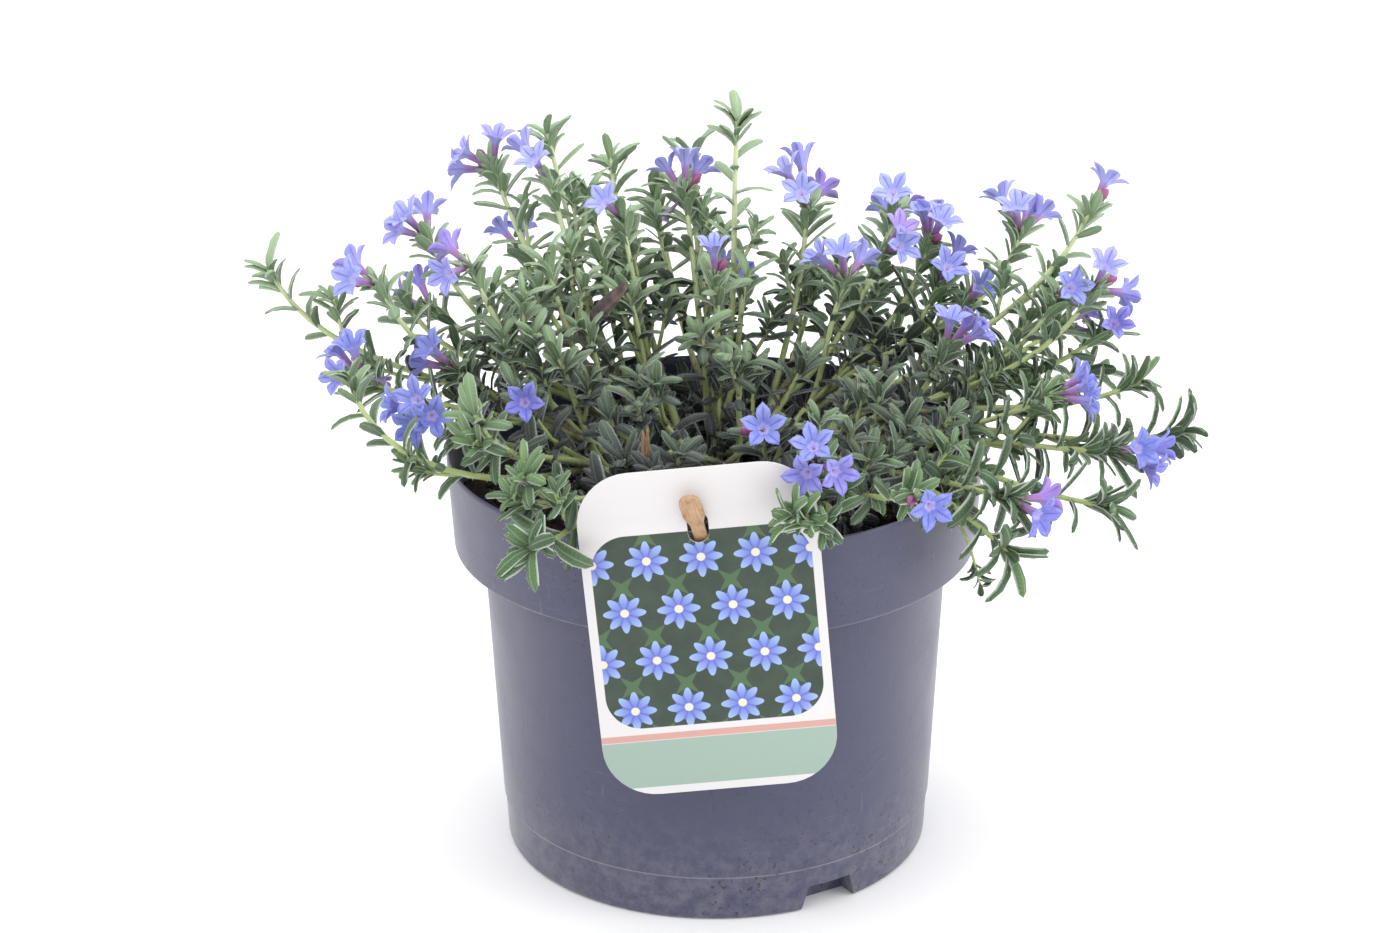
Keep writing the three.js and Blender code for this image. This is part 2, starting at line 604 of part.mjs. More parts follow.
function budGeometry(length) {
  const profile = [[0, 0], [TUBE_RADIUS, 0], [BUD_RADIUS, BUD_WIDEST * length], [0, length]];
  const turned = new THREE.LatheGeometry(profile.map(([x, y]) => new THREE.Vector2(x, y)), STEM_SIDES);
  return turned.rotateX(Math.PI / 2);
}

function towards(geometry, seat, direction, roll) {
  const turn = new THREE.Quaternion().setFromUnitVectors(new THREE.Vector3(0, 0, 1), direction);
  geometry.rotateZ(roll).applyQuaternion(turn).translate(...seat);
  return solidFrom(geometry);
}

// A bloom: the flowers and buds of one shoot, joined where their stalks meet. A flower that would touch
// something is turned or opens less.
function bloomSolid(curve, shoot) {
  const seat = curve.v3.clone().addScaledVector(curve.getTangent(1), SEAT_RISE);
  const blooms = [];
  for (const flower of shoot.flowers) {
    const roll = (360 / LOBES) * draw();
    const tries = SIZES.flatMap((size) => ROLLS.map((more) => [size, radians(roll + more)]));
    const options = tries.map(([size, angle]) => towards(
      flowerGeometry(flower[2] ?? FLOWER_LENGTH, size), seat, facing(flower), angle));
    const clear = options.filter((option) => isClear(option, GAP, placed));
    const ranked = clear.map((option, k) => ({
      option, cost: joined([...blooms, option]).numTri() + 2 * k }));
    ranked.sort((a, b) => a.cost - b.cost);
    blooms.push(ranked[0].option);
  }
  for (const bud of shoot.buds ?? []) {
    blooms.push(towards(budGeometry(bud[2] ?? BUD_LENGTH), seat, facing(bud), 0));
  }
  return joined(blooms);
}

place('pot', potSolid(), potPlastic);
place('soil', soilSolid(), peat);
place('label', labelSolid(), card);
place('peg', pegSolid(0), pegWood);
place('split_stick', stickSolid(0), splitWood);

const two = (number) => String(number).padStart(2, '0');
const sprays = SPRAYS.map((spray, k) => ({ ...spray, name: `spray_${two(k + 1)}`, ...sprayStems(spray) }));
for (const spray of sprays) placed.push({ name: spray.name, ...boxed(spray.stems) });

let bloomCount = 0;
for (const { curves, shoots } of sprays) {
  shoots.forEach((shoot, k) => {
    if (!shoot.flowers) return;
    bloomCount += 1;
    place(`bloom_${two(bloomCount)}`, bloomSolid(curves[k], shoot), petals);
  });
}

// Leaves wind up each shoot and end in a tuft at its tip. One that would touch a neighbour turns round the
// stem, and one with no room is left out.
function leavesOf(spray) {
  const leaves = [];
  spray.curves.forEach((curve, k) => {
    const others = [
      ...placed.filter((other) => other.name !== spray.name),
      ...spray.stalks.filter((_, i) => i !== k).map(boxed)];
    const count = Math.max(2, Math.round((curve.getLength() * (1 - BARE_SHARE)) / LEAF_SPACING));
    const start = draw() * 360;
    for (let i = 0; i < count + TUFT_LEAVES; i += 1) {
      const inTuft = i >= count;
      const share = Math.min(i / count, 1);
      const along = inTuft ? TUFT_PLACE : BARE_SHARE + (1 - BARE_SHARE) * share * LAST_LEAF;
      const variety = inTuft ? 1 : 1 + LEAF_VARIETY * (draw() - 0.5);
      const growth = variety * (inTuft ? TUFT_GROWTH : lerp(LOW_LEAF_GROWTH, HIGH_LEAF_GROWTH, share));
      const least = inTuft ? TUFT_OPENING : lerp(LOW_OPENING, HIGH_OPENING, share);
      const opening = radians(least + OPENING_VARIETY * draw());
      const first = start + i * (inTuft ? 360 / TUFT_LEAVES : TURN_PER_LEAF);
      const tries = OTHER_TURNS.map((more) => leafSolid(
        curve, along, radians(first + more), opening, LEAF_LENGTH * growth, LEAF_WIDTH * growth,
        inTuft ? 1 : LEAF_RINGS));
      const leaf = tries.find((option) => isClear(option, GAP, others)
        && (inTuft || isClear(option, LEAF_GAP, leaves)));
      if (leaf) leaves.push(boxed(leaf));
    }
  });
  return leaves.map(({ solid }) => solid);
}

for (const spray of sprays) {
  const whole = joined([spray.stems, ...leavesOf(spray)]);
  placed.splice(placed.findIndex((other) => other.name === spray.name), 1);
  place(spray.name, whole, foliage);
}

export default group;
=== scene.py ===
# The look of the potted lithodora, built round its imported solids: a scuffed nursery pot of peat, hairy leafy
# sprays with violet-blue flowers, and a printed card held on the rim by a wooden peg.
# Blender works in metres here. Sizes below are in millimetres and are multiplied by MM where they are used.
# A pair gives the least and the most of a random draw, and a pair of radii those at the foot and at the tip.

import math
import random

import bmesh
import bpy
from mathutils import Matrix, Quaternion, Vector, noise


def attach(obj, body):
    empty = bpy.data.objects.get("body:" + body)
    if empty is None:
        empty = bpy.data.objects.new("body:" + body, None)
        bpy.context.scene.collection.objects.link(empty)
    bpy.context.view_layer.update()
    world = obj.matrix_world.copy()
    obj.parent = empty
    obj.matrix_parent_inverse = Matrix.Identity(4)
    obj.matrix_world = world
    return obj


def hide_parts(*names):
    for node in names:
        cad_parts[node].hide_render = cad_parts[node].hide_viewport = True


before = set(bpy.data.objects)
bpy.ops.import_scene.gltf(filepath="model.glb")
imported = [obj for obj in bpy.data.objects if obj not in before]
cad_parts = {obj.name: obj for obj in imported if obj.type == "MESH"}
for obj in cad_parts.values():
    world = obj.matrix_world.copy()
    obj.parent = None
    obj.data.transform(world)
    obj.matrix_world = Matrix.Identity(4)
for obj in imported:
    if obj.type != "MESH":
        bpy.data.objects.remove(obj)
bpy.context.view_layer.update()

MM = 0.001
UP = Vector((0, 0, 1))
SEED = 20261

# The photograph's camera: it looks along +Y, down on the plant
PHOTO_WIDTH = 1400
FOCAL_PIXELS = 3387
CAMERA_DISTANCE = 1204
CAMERA_ELEVATION = 21.58
CAMERA_ROLL = -0.36
CAMERA_TARGET = (-5.2, 0, 140.4)
CAMERA_RANGE = 20000

# The studio: half the floor's side, and each lamp's place, size (metres) and power (watts)
FLOOR_REACH = 9000
LAMP_AIM = (0, 0, 0.15)
LAMPS = {
    "left_softbox": ((-1.6, -1.0, 1.2), (1.2, 1.6), 5),
    "right_softbox": ((1.7, -0.7, 0.9), (1.2, 1.6), 14),
    "top_softbox": ((0, 0.3, 2.0), (1.8, 1.4), 12)}
WORLD_STRENGTH = 1.35

# Driving sizes: those of the pot, soil, card, peg and stick are the same as those of the solids
POT_HEIGHT = 149
RIM_RADIUS = 95
COLLAR_HEIGHT = 34.4
COLLAR_FOOT = POT_HEIGHT - COLLAR_HEIGHT
COLLAR_FOOT_RADIUS = 93
BODY_TOP_RADIUS = 82.8
BASE_RADIUS = 76.5
POT_WALL = 1.8
POT_FLOOR = 2.2
LIP = 0.9
POT_SIDES = 144
FOOT_LINE_HEIGHT = 17
FOOT_LINE_STEP = 0.5
NOTCH_WIDTH = 23
NOTCH_TOP_WIDTH = 17
NOTCH_HEIGHT = 9.5
NOTCH_DEPTH = 9
NOTCH_AZIMUTHS = (-59, 121)
# A notch's cut, its pocket in the pot and that in the soil: (height where it starts, reach past the foot)
NOTCH_CUT = (-1, 20)
POT_POCKET = (POT_FLOOR / 2, -POT_WALL / 2 - 0.6)
SOIL_POCKET = (POT_FLOOR / 2, 1)
DRAINS = 6
DRAIN_RADIUS = 4.5
DRAIN_SIDES = 24
DRAIN_CIRCLE = 46
DRAIN_CUT = 5
SHARP_ANGLE = 35

SOIL_LEVEL = 128
SOIL_DOME = 3
SOIL_BRIM = 91.3
SOIL_RINGS = 30
SOIL_SIDES = 96
GAP = 0.3
# Each kind of lump in the peat is (height, size), and crumbs lie on what faces up near the top
LUMPS = ((1.6, 9), (0.8, 3.5))
LUMPS_FADE = 6
CRUMBS_FACE_UP = 0.6
CRUMBS_BELOW_LEVEL = 6
CRUMBS_TO_SQUARE_METRE = 60000.0
CRUMB_SIZES = (0.5, 1.9)
CRUMB_DENTS = (0.6, 1.2)

CARD_WIDTH = 79
CARD_HEIGHT = 117
CARD_CORNER = 18
CARD_THICKNESS = 0.8
CARD_BEVEL = 0.15
CARD_TURN = 5
CARD_HOLE = (-6, -95.3, 157)
HOLE_MIDDLE = Vector(CARD_HOLE) - Vector((0, CARD_THICKNESS / 2, 0))
HOLE_BELOW_TOP = 21
HOLE_WIDTH = 7
HOLE_HEIGHT = 11
MOTIF_PITCH = 18
PEG_LENGTH = 82
PEG_POINT = 3
PEG_NECK = 4.6
PEG_HEAD = 7.2
PEG_HEAD_LENGTH = 16
PEG_SHOULDER = 6
PEG_SHOULDER_LENGTH = 4
PEG_THICKNESS = 1.8
PEG_BEVEL = 0.35
PEG_DIRECTION = (-0.21, -0.47, 0.86)
STICK_TOP = (-23.6, -55, 176)
STICK_WIDTH = 2.6
STICK_THICKNESS = 1.4
STICK_BEVEL = 0.15
STICK_HEIGHT = 63
SPLIT_LENGTH = 13
SPLIT_WIDTH = 0.5
PRONG_TOPS = (-1.5, 0)
WOOD_SHARP_ANGLE = 60

# The plant: its stems, shoots and twigs
STEM_SUNK = 12
MAIN_RADIUS = 1.8
SHOOT_RADIUS = 1.3
TIP_RADIUS = 0.9
FORK_RADIUS = SHOOT_RADIUS * 1.15
STEM_SIDES = 7
STEM_STRAIGHT = 8
BRANCHED_SHARE = 0.6
# A stem's bare share, from its foot; a stem with LEAFLESS gets no leaves at all
BARE_SHARE = 0.22
LEAFLESS = 2
SUNK_STEPS = 2
STEM_STEPS = 6
SHOOT_STEPS = 16
# How far a shoot spreads before it turns up, how much it rises there and how long its straight head is,
# each a share of the way to its tip
SHOOT_SPREAD, SHOOT_LIFT, SHOOT_HEAD = 0.3, 0.18, 0.35
HANGS_BELOW_RISE = 25
HANGING_SHOOT_GROWTH = 1.25
HANGING_SHOOT_AGE = 0.22
OUTER_RADIUS = 70
SIDE_TWIGS = 2
TWIG_STEPS = 6
TWIG_TRIES = 8
# A side twig's aim is a sum of the shoot's heading, a way off it and the way up; then it rises a little more
TWIG_AIM = (0.75, 0.6, 0.35)
TWIG_BEND = 0.6
TWIG_RISE = 0.25
TWIG_STARTS = (0.25, 0.72)
TWIG_LENGTHS = (16, 30)
TWIG_GROWTH = (0.7, 0.9)
TWIG_RADII = (SHOOT_RADIUS * 0.62, TIP_RADIUS * 0.75)
TWIG_BARE_SHARE = 0.2
TWIG_AGE = 0.05
TWIG_SWAY = 0.3
CLEAR_VIEW = 17
LOW_TWIGS = 5
LOW_TWIG_REACH = 82
LOW_TWIG_SPREAD = (-120, 120)
LOW_TWIG_LENGTHS = (22, 42)
LOW_TWIG_STARTS = (-1, 6)
LOW_TWIG_RISES = (0, 9)
LOW_TWIG_BEND, LOW_TWIG_ARCH = 0.4, 5
LOW_TWIG_RADII = (1.2, 0.8)
LOW_TWIG_GROWTH = (0.9, 1.15)
LOW_TWIG_AGE = 0.75
LOW_TWIG_SWAY = 0.4
HANGING_TWIG_STEPS = 14
HANGING_TWIG_RADII = (0.75, 0.4)
HANGING_TWIG_BARE_SHARE = 0.75
HANGING_TWIG_GROWTH = 0.6
HANGING_TWIG_AGE = 0.3

LEAF_LENGTH = 14.5
LEAF_WIDTH = 4.6
LEAF_THICKNESS = 0.7
LEAF_SPACING = 4.4
LEAF_HAIRS = 10
HAIR_LENGTH = 0.9
HAIR_RADIUS = 0.065
HAIRS_TO_SQUARE_METRE = 350000.0
TUFT_LENGTH = 9
TUFT_LEAVES = 9
GOLDEN_ANGLE = math.radians(137.5)
SPENT_LEAF_SIZE = (1.2, 1.7, 1.25)
SPENT_LEAF_KIND = 4
SPENT_LEAF_AGE = 2.0
# Each kind of leaf is (how far it bends back in degrees, how far its edges roll down, its sideways bend)
LEAF_SHAPES = [(38, 0.19, 6), (52, 0.23, -8), (66, 0.21, 4), (84, 0.25, -3), (20, 0.14, -5), (58, 0.13, 10)]

FLOWER_LENGTH = 16
FLOWER_RADIUS = 8.8
THROAT_RADIUS = 1.5
TUBE_LENGTH = FLOWER_LENGTH - 4.6
LOBES = 5
BUD_LENGTH = 10
BUD_SIDES = 10
BUD_TWIST = 1.6
SEAT_RISE = 1.6
FLOWER_GIRTHS = (0.9, 1.04)
FLOWER_TINTS = (-0.9, 0.4)
VIOLET_TINT = 0.9
PAST_FLOWER_KIND = 3
PAST_FLOWER_GIRTH = 0.7
SEPAL_LENGTH = 7.5
SEPAL_WIDTH = 1.3
SEPAL_SHAPES = 2
SEPAL_SIZES = (0.85, 1.1)
SEPAL_LEAN = 0.14
SEPAL_FOOT = Vector((0.9, 0, -0.6))
SEPAL_AGE = 0.1
# Each kind of flower is (how open it is, how far its lobes' edges are lifted)
FLOWER_SHAPES = [(0.9, 0.3), (0.72, 0.5), (0.85, -0.3), (0.42, 0.4), (0.75, 0.7)]

# Loose details of some sprays, by the spray's number: thin twigs that hang over the rim, and dead leaves,
# each (its foot, azimuth, elevation, roll)
HANGING_TWIGS = {11: [(70, -48, 152), (84, -60, 147), (87, -62, 133), (90, -63, 121)]}
DEAD_LEAVES = {
    4: [((-31, 27, 199), 188, -46, 60)],
    8: [((62, 20, 160), -60, -20, 0)],
    13: [((-30, -48, 150), -110, -10, 40)]}

# By the cluster's number: flowers that are past their best, each (azimuth, elevation, size, age, tint), and
# the place of its violet flower
PAST_FLOWERS = {
    4: [(-20, 0, 0.6, 1, 0)],
    7: [(180, 60, 0.75, 0.4, 1)],
    9: [(195, -45, 0.7, 1, 0)],
    17: [(0, 45, 0.72, 1, 0)],
    22: [(180, 30, 0.5, 1, 0), (180, 0, 0.62, 0.9, 1)]}
VIOLET_FLOWER = {2: 0, 11: 3, 13: 0, 26: 0, 32: 0}


def shoot(tip, rise=65, flowers=(), buds=(), bend=()):
    """A shoot ends at `tip`, rising at `rise` degrees, or is led there through `bend`. A flower or bud is
    (azimuth, elevation) or (azimuth, elevation, length)."""
    return {"tip": tip, "rise": rise, "flowers": flowers, "buds": buds, "bend": bend}


# The sprays as the solids have them: azimuth and radius of the root, (radius, height) of the fork, shoots
SPRAYS = [
    (176, 30, (46, 150), [
        shoot((-117, 10, 204), flowers=[(-135, 25), (140, 25)], buds=[(180, 10)]),
        shoot((-158, 25, 207)),
        shoot((-85, 15, 209), flowers=[(130, 20), (-125, 5)]),
        shoot((-90, 5, 175), rise=40, flowers=[(-150, 45), (165, 5)]),
        shoot((-122, -5, 176), rise=30, flowers=[(175, 50), (-120, 70), (-125, 20)]),
    ]),
    (155, 28, (42, 152), [
        shoot((-102, 45, 210), flowers=[(-155, 50), (-150, 25), (95, 35)]),
        shoot((-111, 40, 190)),
        shoot((-60, 35, 206)),
        shoot((-46, 15, 187)),
    ]),
    (132, 30, (46, 154), [
        shoot((-80, 80, 225), flowers=[(-55, 80), (-170, 35), (170, 0)], buds=[(150, 45)]),
        shoot((-59, 70, 223), flowers=[(-135, 55), (145, 45, 21)]),
        shoot((-61, 95, 236)),
        shoot((-41, 55, 200)),
    ]),
    (114, 26, (40, 152), [
        shoot((-38, 110, 222)),
        shoot((-46, 90, 211)),
        shoot((-33, 60, 212), flowers=[(-130, 45)]),
        shoot((-31, 35, 194)),
    ]),
    (88, 28, (38, 152), [
        shoot((-10, 80, 215), flowers=[(140, 45), (85, 75), (60, 35)], buds=[(0, 55)]),
        shoot((-8, 112, 224)),
        shoot((9, 65, 249), rise=80),
        shoot((1, 30, 198), flowers=[(-115, 80)], buds=[(-20, 70)]),
        shoot((12, 45, 196)),
        shoot((-5, 12, 185)),
    ]),
    (60, 30, (46, 152), [
        shoot((35, 75, 211), flowers=[(180, 60, 21), (105, 60, 22), (-110, 45), (65, 20)]),
        shoot((68, 95, 204), flowers=[(-100, 50)]),
        shoot((62, 63, 198), flowers=[(-35, 55), (-60, 25)]),
    ]),
    (38, 26, (42, 152), [
        shoot((47, 35, 196), flowers=[(-175, 45), (-115, 70), (60, 25)]),
        shoot((79, 70, 198), flowers=[(165, 80), (80, 60), (-50, 60)], buds=[(-60, 40)]),
        shoot((114, 85, 197), flowers=[(130, 50, 21), (-120, 70), (70, 30), (40, 30)]),
        shoot((82, 60, 187), flowers=[(40, 45, 18), (-70, 45)]),
    ]),
    (20, 32, (48, 152), [
        shoot((91, 52, 181), flowers=[(-50, 45)], buds=[(0, 60)]),
        shoot((135, 45, 219), flowers=[(45, 50)], buds=[(10, 50)]),
        shoot((114, 30, 186)),
    ]),
    (5, 24, (42, 150), [
        shoot((122, 25, 194), flowers=[(-70, 30)]),
        shoot((134, 20, 198), flowers=[(-65, 55), (20, -15)], buds=[(20, 20)]),
        shoot((139, 25, 181), rise=40, flowers=[(-80, 30)]),
        shoot((151, 5, 170), rise=30),
    ]),
    (-10, 34, (52, 150), [
        shoot((80, 0, 181), flowers=[(-35, 80), (-10, 35, 18), (35, 40, 17)]),
        shoot((115, -20, 173), rise=30, flowers=[(30, 20), (-15, 20), (-20, 0)]),
        shoot((136, -30, 157), rise=5, flowers=[(-50, 20), (10, 0, 19), (-30, -15, 18)]),
        shoot((164, -10, 157), rise=20),
    ]),
    (-30, 28, (48, 150), [
        shoot((98, -70, 156), rise=5, flowers=[(30, -10), (-50, -10)]),
        shoot((134, -55, 147), rise=0),
        shoot((98, -80, 140), rise=-30),
        shoot((65, -45, 173)),
        shoot((47, -20, 173)),
    ]),
    (-60, 34, (54, 148), [
        shoot((65, -95, 168), rise=30, flowers=[(-75, 0)], buds=[(-110, 0)]),
        shoot((33, -84, 174), flowers=[(-100, 45), (-105, 5, 19), (-65, 5, 18)]),
        shoot((25, -108, 164), rise=40, bend=[(44, -84, 164), (40, -108, 158)]),
        shoot((51, -70, 170)),
        shoot((16, -62, 174), flowers=[(-90, 35)], buds=[(-150, 30)]),
    ]),
    (-118, 34, (50, 148), [
        shoot((-31, -55, 165)),
        shoot((-12, -62, 169)),
        shoot((-63, -85, 171)),
        shoot((-61, -104, 153), rise=15),
    ]),
    (-157, 30, (46, 148), [
        shoot((-63, -30, 174), flowers=[(-95, 25)]),
        shoot((-80, -62, 184)),
        shoot((-96, -30, 172), rise=40, flowers=[(-165, 15, 17), (-120, 40), (-115, 0), (-85, 15)]),
        shoot((-123, -50, 193), bend=[(-70, -45, 150), (-114, -64, 160)]),
        shoot((-54, -10, 185)),
    ]),
    (-80, 10, (12, 146), [
        shoot((-26, -15, 179)),
        shoot((-36, -35, 172)),
        shoot((11, -8, 182)),
        shoot((32, 4, 178)),
    ]),
    (66, 56, (74, 150), [
        shoot((70, 118, 188), flowers=[(60, 40), (110, 30)]),
        shoot((40, 132, 168), rise=30),
        shoot((98, 105, 165), rise=30),
    ]),
    (92, 56, (72, 150), [
        shoot((5, 135, 158), rise=30, flowers=[(60, 20), (120, 25), (95, 60)]),
        shoot((-22, 128, 202)),
    ]),
    (124, 58, (76, 150), [
        shoot((-72, 114, 182), flowers=[(140, 35), (95, 30)]),
        shoot((-104, 84, 170), rise=30, flowers=[(170, 20), (120, 40)]),
    ]),
    (28, 60, (78, 150), [
        shoot((128, 74, 166), rise=30, flowers=[(50, 30), (0, 25)]),
        shoot((140, 50, 158), rise=20),
    ]),
]


# Node trees
def add(tree, kind, settings=None, inputs=None, output=0):
    """Adds a node: its settings first, then the values or the links of its sockets."""
    node = tree.nodes.new(kind)
    for name, value in (settings or {}).items():
        setattr(node, name, value)
    for name, value in (inputs or {}).items():
        for part in value if isinstance(value, list) else [value]:
            if isinstance(part, Wire):
                tree.links.new(part.socket, node.inputs[name])
            else:
                node.inputs[name].default_value = part
    return Wire(node, output)


def math_node(operation, reflected=False):
    """A method of Wire that adds a Math node. A reflected one takes its own socket second."""
    def worked_out(self, *others):
        values = (*others, self) if reflected else (self, *others)
        return self.add("ShaderNodeMath", {"operation": operation}, dict(enumerate(values)))
    return worked_out


class Wire:
    """A node's output in a Python sum: each operator adds the Math node that works it out."""

    __add__ = __radd__ = math_node("ADD")
    __mul__ = __rmul__ = math_node("MULTIPLY")
    __sub__ = math_node("SUBTRACT")
    __rsub__ = math_node("SUBTRACT", reflected=True)
    __truediv__ = math_node("DIVIDE")
    __pow__ = math_node("POWER")
    __mod__ = math_node("FLOORED_MODULO")
    __abs__ = math_node("ABSOLUTE")
    __lt__ = math_node("LESS_THAN")
    __gt__ = math_node("GREATER_THAN")
    least = math_node("MINIMUM")
    most = math_node("MAXIMUM")
    floor = math_node("FLOOR")
    cosine = math_node("COSINE")
    angle_over = math_node("ARCTAN2")

    def __init__(self, node, output=0):
        self.node = node
        self.socket = node.outputs[output]

    def add(self, kind, settings=None, inputs=None, output=0):
        return add(self.node.id_data, kind, settings, inputs, output)

    def also(self, output):
        return Wire(self.node, output)

    def axes(self):
        """The x, y and z of a vector."""
        split = self.add("ShaderNodeSeparateXYZ", None, {0: self})
        return split, split.also(1), split.also(2)

    def smooth(self, low, high):
        """0 up to `low`, 1 from `high`, a soft step between; the other way round where low is above high."""
        if low > high:
            return 1 - self.smooth(high, low)
        settings = {"interpolation_type": "SMOOTHSTEP"}
        return self.add("ShaderNodeMapRange", settings, {"Value": self, 1: low, 2: high})

    def lerp(self, low, high):
        return self * (high - low) + low

    def mix(self, first, second):
        """A colour between two, by this factor."""
        first, second = ((*colour, 1) if isinstance(colour, tuple) else colour for colour in (first, second))
        return self.add("ShaderNodeMix", {"data_type": "RGBA"}, {0: self, 6: first, 7: second}, 2)

    def noise(self, scale, detail=3.0, roughness=0.55):
        return self.add("ShaderNodeTexNoise", None, {
            "Vector": self, "Scale": scale, "Detail": detail, "Roughness": roughness})

    def stretched(self, *scale):
        return self.add("ShaderNodeVectorMath", {"operation": "MULTIPLY"}, {0: self, 1: scale})

    def spun(self, axis, angle):
        """A rotation turned further about one of its own axes."""
        more = self.add("FunctionNodeAxisAngleToRotation", None, {"Axis": axis, "Angle": angle})
        return self.add("FunctionNodeRotateRotation", {"rotation_space": "LOCAL"}, {0: self, 1: more})

    def drawn(self, low, high):
        """A random value for each point, with this as its seed."""
        return self.add("FunctionNodeRandomValue", None, {2: low, 3: high, "Seed": self}, 1)

    def stored(self, name, value):
        """The geometry with a point attribute."""
        return self.add("GeometryNodeStoreNamedAttribute", {"data_type": "FLOAT", "domain": "POINT"}, {
            "Geometry": self, "Name": name, "Value": value})

    def set_with(self, shape, rotation, scale, pick=None):
        """Sets a shape, or one picked from several, on each of these points."""
        picked = {} if pick is None else {"Pick Instance": True, "Instance Index": pick}
        return self.add("GeometryNodeInstanceOnPoints", None, {
            "Points": self, "Instance": shape, "Rotation": rotation, "Scale": scale, **picked})

    def realized(self):
        return self.add("GeometryNodeRealizeInstances", None, {0: self})

    def coated(self, material):
        return self.add("GeometryNodeSetMaterial", None, {"Geometry": self, "Material": material})


def new_material(name):
    """A material with only its surface shader."""
    made = bpy.data.materials.new(name)
    made.use_nodes = True
    return made


def attribute(made, name, output="Fac"):
    return add(made.node_tree, "ShaderNodeAttribute", {"attribute_name": name}, output=output)


def place_in(made):
    return add(made.node_tree, "ShaderNodeTexCoord", output="Object")


def painted_shade_and_light(made):
    """Masks for painted shade and painted light (0 to 1): how far a point lies in the shade inside the plant,
    where colours are painted darker, and how high it stands in the open, where they are painted paler.
    """
    x, y, z = (axis / MM for axis in place_in(made).axes())
    return ((x * x + y * y) ** 0.5).smooth(104, 74) * z.smooth(200, 163), z.smooth(162, 226)


def fed(made, bump=None, **sockets):
    """The material with its surface's sockets linked or set. `bump` is a height and how far it stands up."""
    surface = made.node_tree.nodes["Principled BSDF"]
    if bump:
        sockets["normal"] = bump[0].add("ShaderNodeBump", None, {
            "Height": bump[0], "Distance": bump[1] * MM, "Strength": 1.0})
    for name, value in sockets.items():
        socket = surface.inputs[name.replace("_", " ").title()]
        if isinstance(value, Wire):
            made.node_tree.links.new(value.socket, socket)
        else:
            socket.default_value = value
    return made


def geometry_tree(name, inputs):
    """An empty Geometry Nodes tree with named inputs; returns it and a Wire for each input."""
    tree = bpy.data.node_groups.new(name, "GeometryNodeTree")
    tree.interface.new_socket("Geometry", in_out="OUTPUT", socket_type="NodeSocketGeometry")
    for label, kind in [("Geometry", "Geometry"), *inputs.items()]:
        tree.interface.new_socket(label, in_out="INPUT", socket_type="NodeSocket" + kind)
    source = tree.nodes.new("NodeGroupInput")
    return tree, {label: Wire(source, label) for label in ["Geometry", *inputs]}


def ended(tree, result):
    tree.links.new(result.socket, tree.nodes.new("NodeGroupOutput").inputs[0])
    return tree


def named(tree, name, kind="FLOAT"):
    return add(tree, "GeometryNodeInputNamedAttribute", {"data_type": kind}, {"Name": name})


def joined_geometry(tree, *parts):
    return add(tree, "GeometryNodeJoinGeometry", None, {0: list(parts)})


def shapes_in(store):
    """The shapes of a collection as instances to pick from."""
    return store.add("GeometryNodeCollectionInfo", None, {
        "Collection": store, "Separate Children": True, "Reset Children": True})


def shape_of(piece):
    return piece.add("GeometryNodeObjectInfo", None, {"Object": piece, "As Instance": True}, "Geometry")


# Meshes. These are the point attributes that aren't plain decimal numbers.
ATTRIBUTE_KINDS = {"blade": "FLOAT_VECTOR", "petal": "FLOAT_VECTOR", "size": "FLOAT_VECTOR",
                   "turn": "QUATERNION", "kind": "INT"}


def linked(name, data):
    piece = bpy.data.objects.new(name, data)
    bpy.context.scene.collection.objects.link(piece)
    return piece


def new_mesh(name, points, faces=(), edges=(), **values):
    """A mesh from points in millimetres, with a point attribute for each further name."""
    mesh = bpy.data.meshes.new(name)
    mesh.from_pydata([Vector(point) * MM for point in points], edges, faces)
    for label, listed in values.items():
        kind = ATTRIBUTE_KINDS.get(label, "FLOAT")
        flat = listed if kind in ("FLOAT", "INT") else [number for value in listed for number in value]
        layer = mesh.attributes.new(label, kind, "POINT")
        layer.data.foreach_set("vector" if kind == "FLOAT_VECTOR" else "value", flat)
    mesh.update()
    return mesh


def smooth_shaded(mesh):
    mesh.polygons.foreach_set("use_smooth", [True] * len(mesh.polygons))
    return mesh


def evaluated_mesh(piece, name):
    """The piece's mesh with its modifiers applied; the piece itself goes."""
    depsgraph = bpy.context.evaluated_depsgraph_get()
    mesh = bpy.data.meshes.new_from_object(piece.evaluated_get(depsgraph), depsgraph=depsgraph)
    bpy.data.objects.remove(piece)
    mesh.name = name
    return mesh


def grown(name, source, tree, values):
    """Runs a tree over a source mesh and keeps the result as a plain mesh."""
    base = linked(name + "_base", source)
    modifier = base.modifiers.new("grow", "NODES")
    modifier.node_group = tree
    for item in tree.interface.items_tree:
        if item.in_out == "INPUT" and item.name in values:
            modifier[item.identifier] = values[item.name]
    return linked(name, evaluated_mesh(base, name))


def kept(piece, node):
    """Makes a finished piece stand for its solid."""
    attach(piece, "root")
    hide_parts(node)


def shape_store(name, meshes):
    """A collection, outside the scene, that trees pick their repeated shapes from."""
    store = bpy.data.collections.new(name)
    for k, mesh in enumerate(meshes):
        store.objects.link(bpy.data.objects.new(f"{name}_{k}", mesh))
    return store


def joined(name, pieces):
    """One piece of several, each with its own finish."""
    whole = bmesh.new()
    finishes = []
    for piece in pieces:
        before = len(whole.faces)
        whole.from_mesh(piece.data)
        whole.faces.ensure_lookup_table()
        for face in whole.faces[before:]:
            face.material_index += len(finishes)
        finishes += piece.data.materials
        bpy.data.objects.remove(piece)
    mesh = bpy.data.meshes.new(name)
    whole.to_mesh(mesh)
    whole.free()
    for finish in finishes:
        mesh.materials.append(finish)
    return linked(name, mesh)


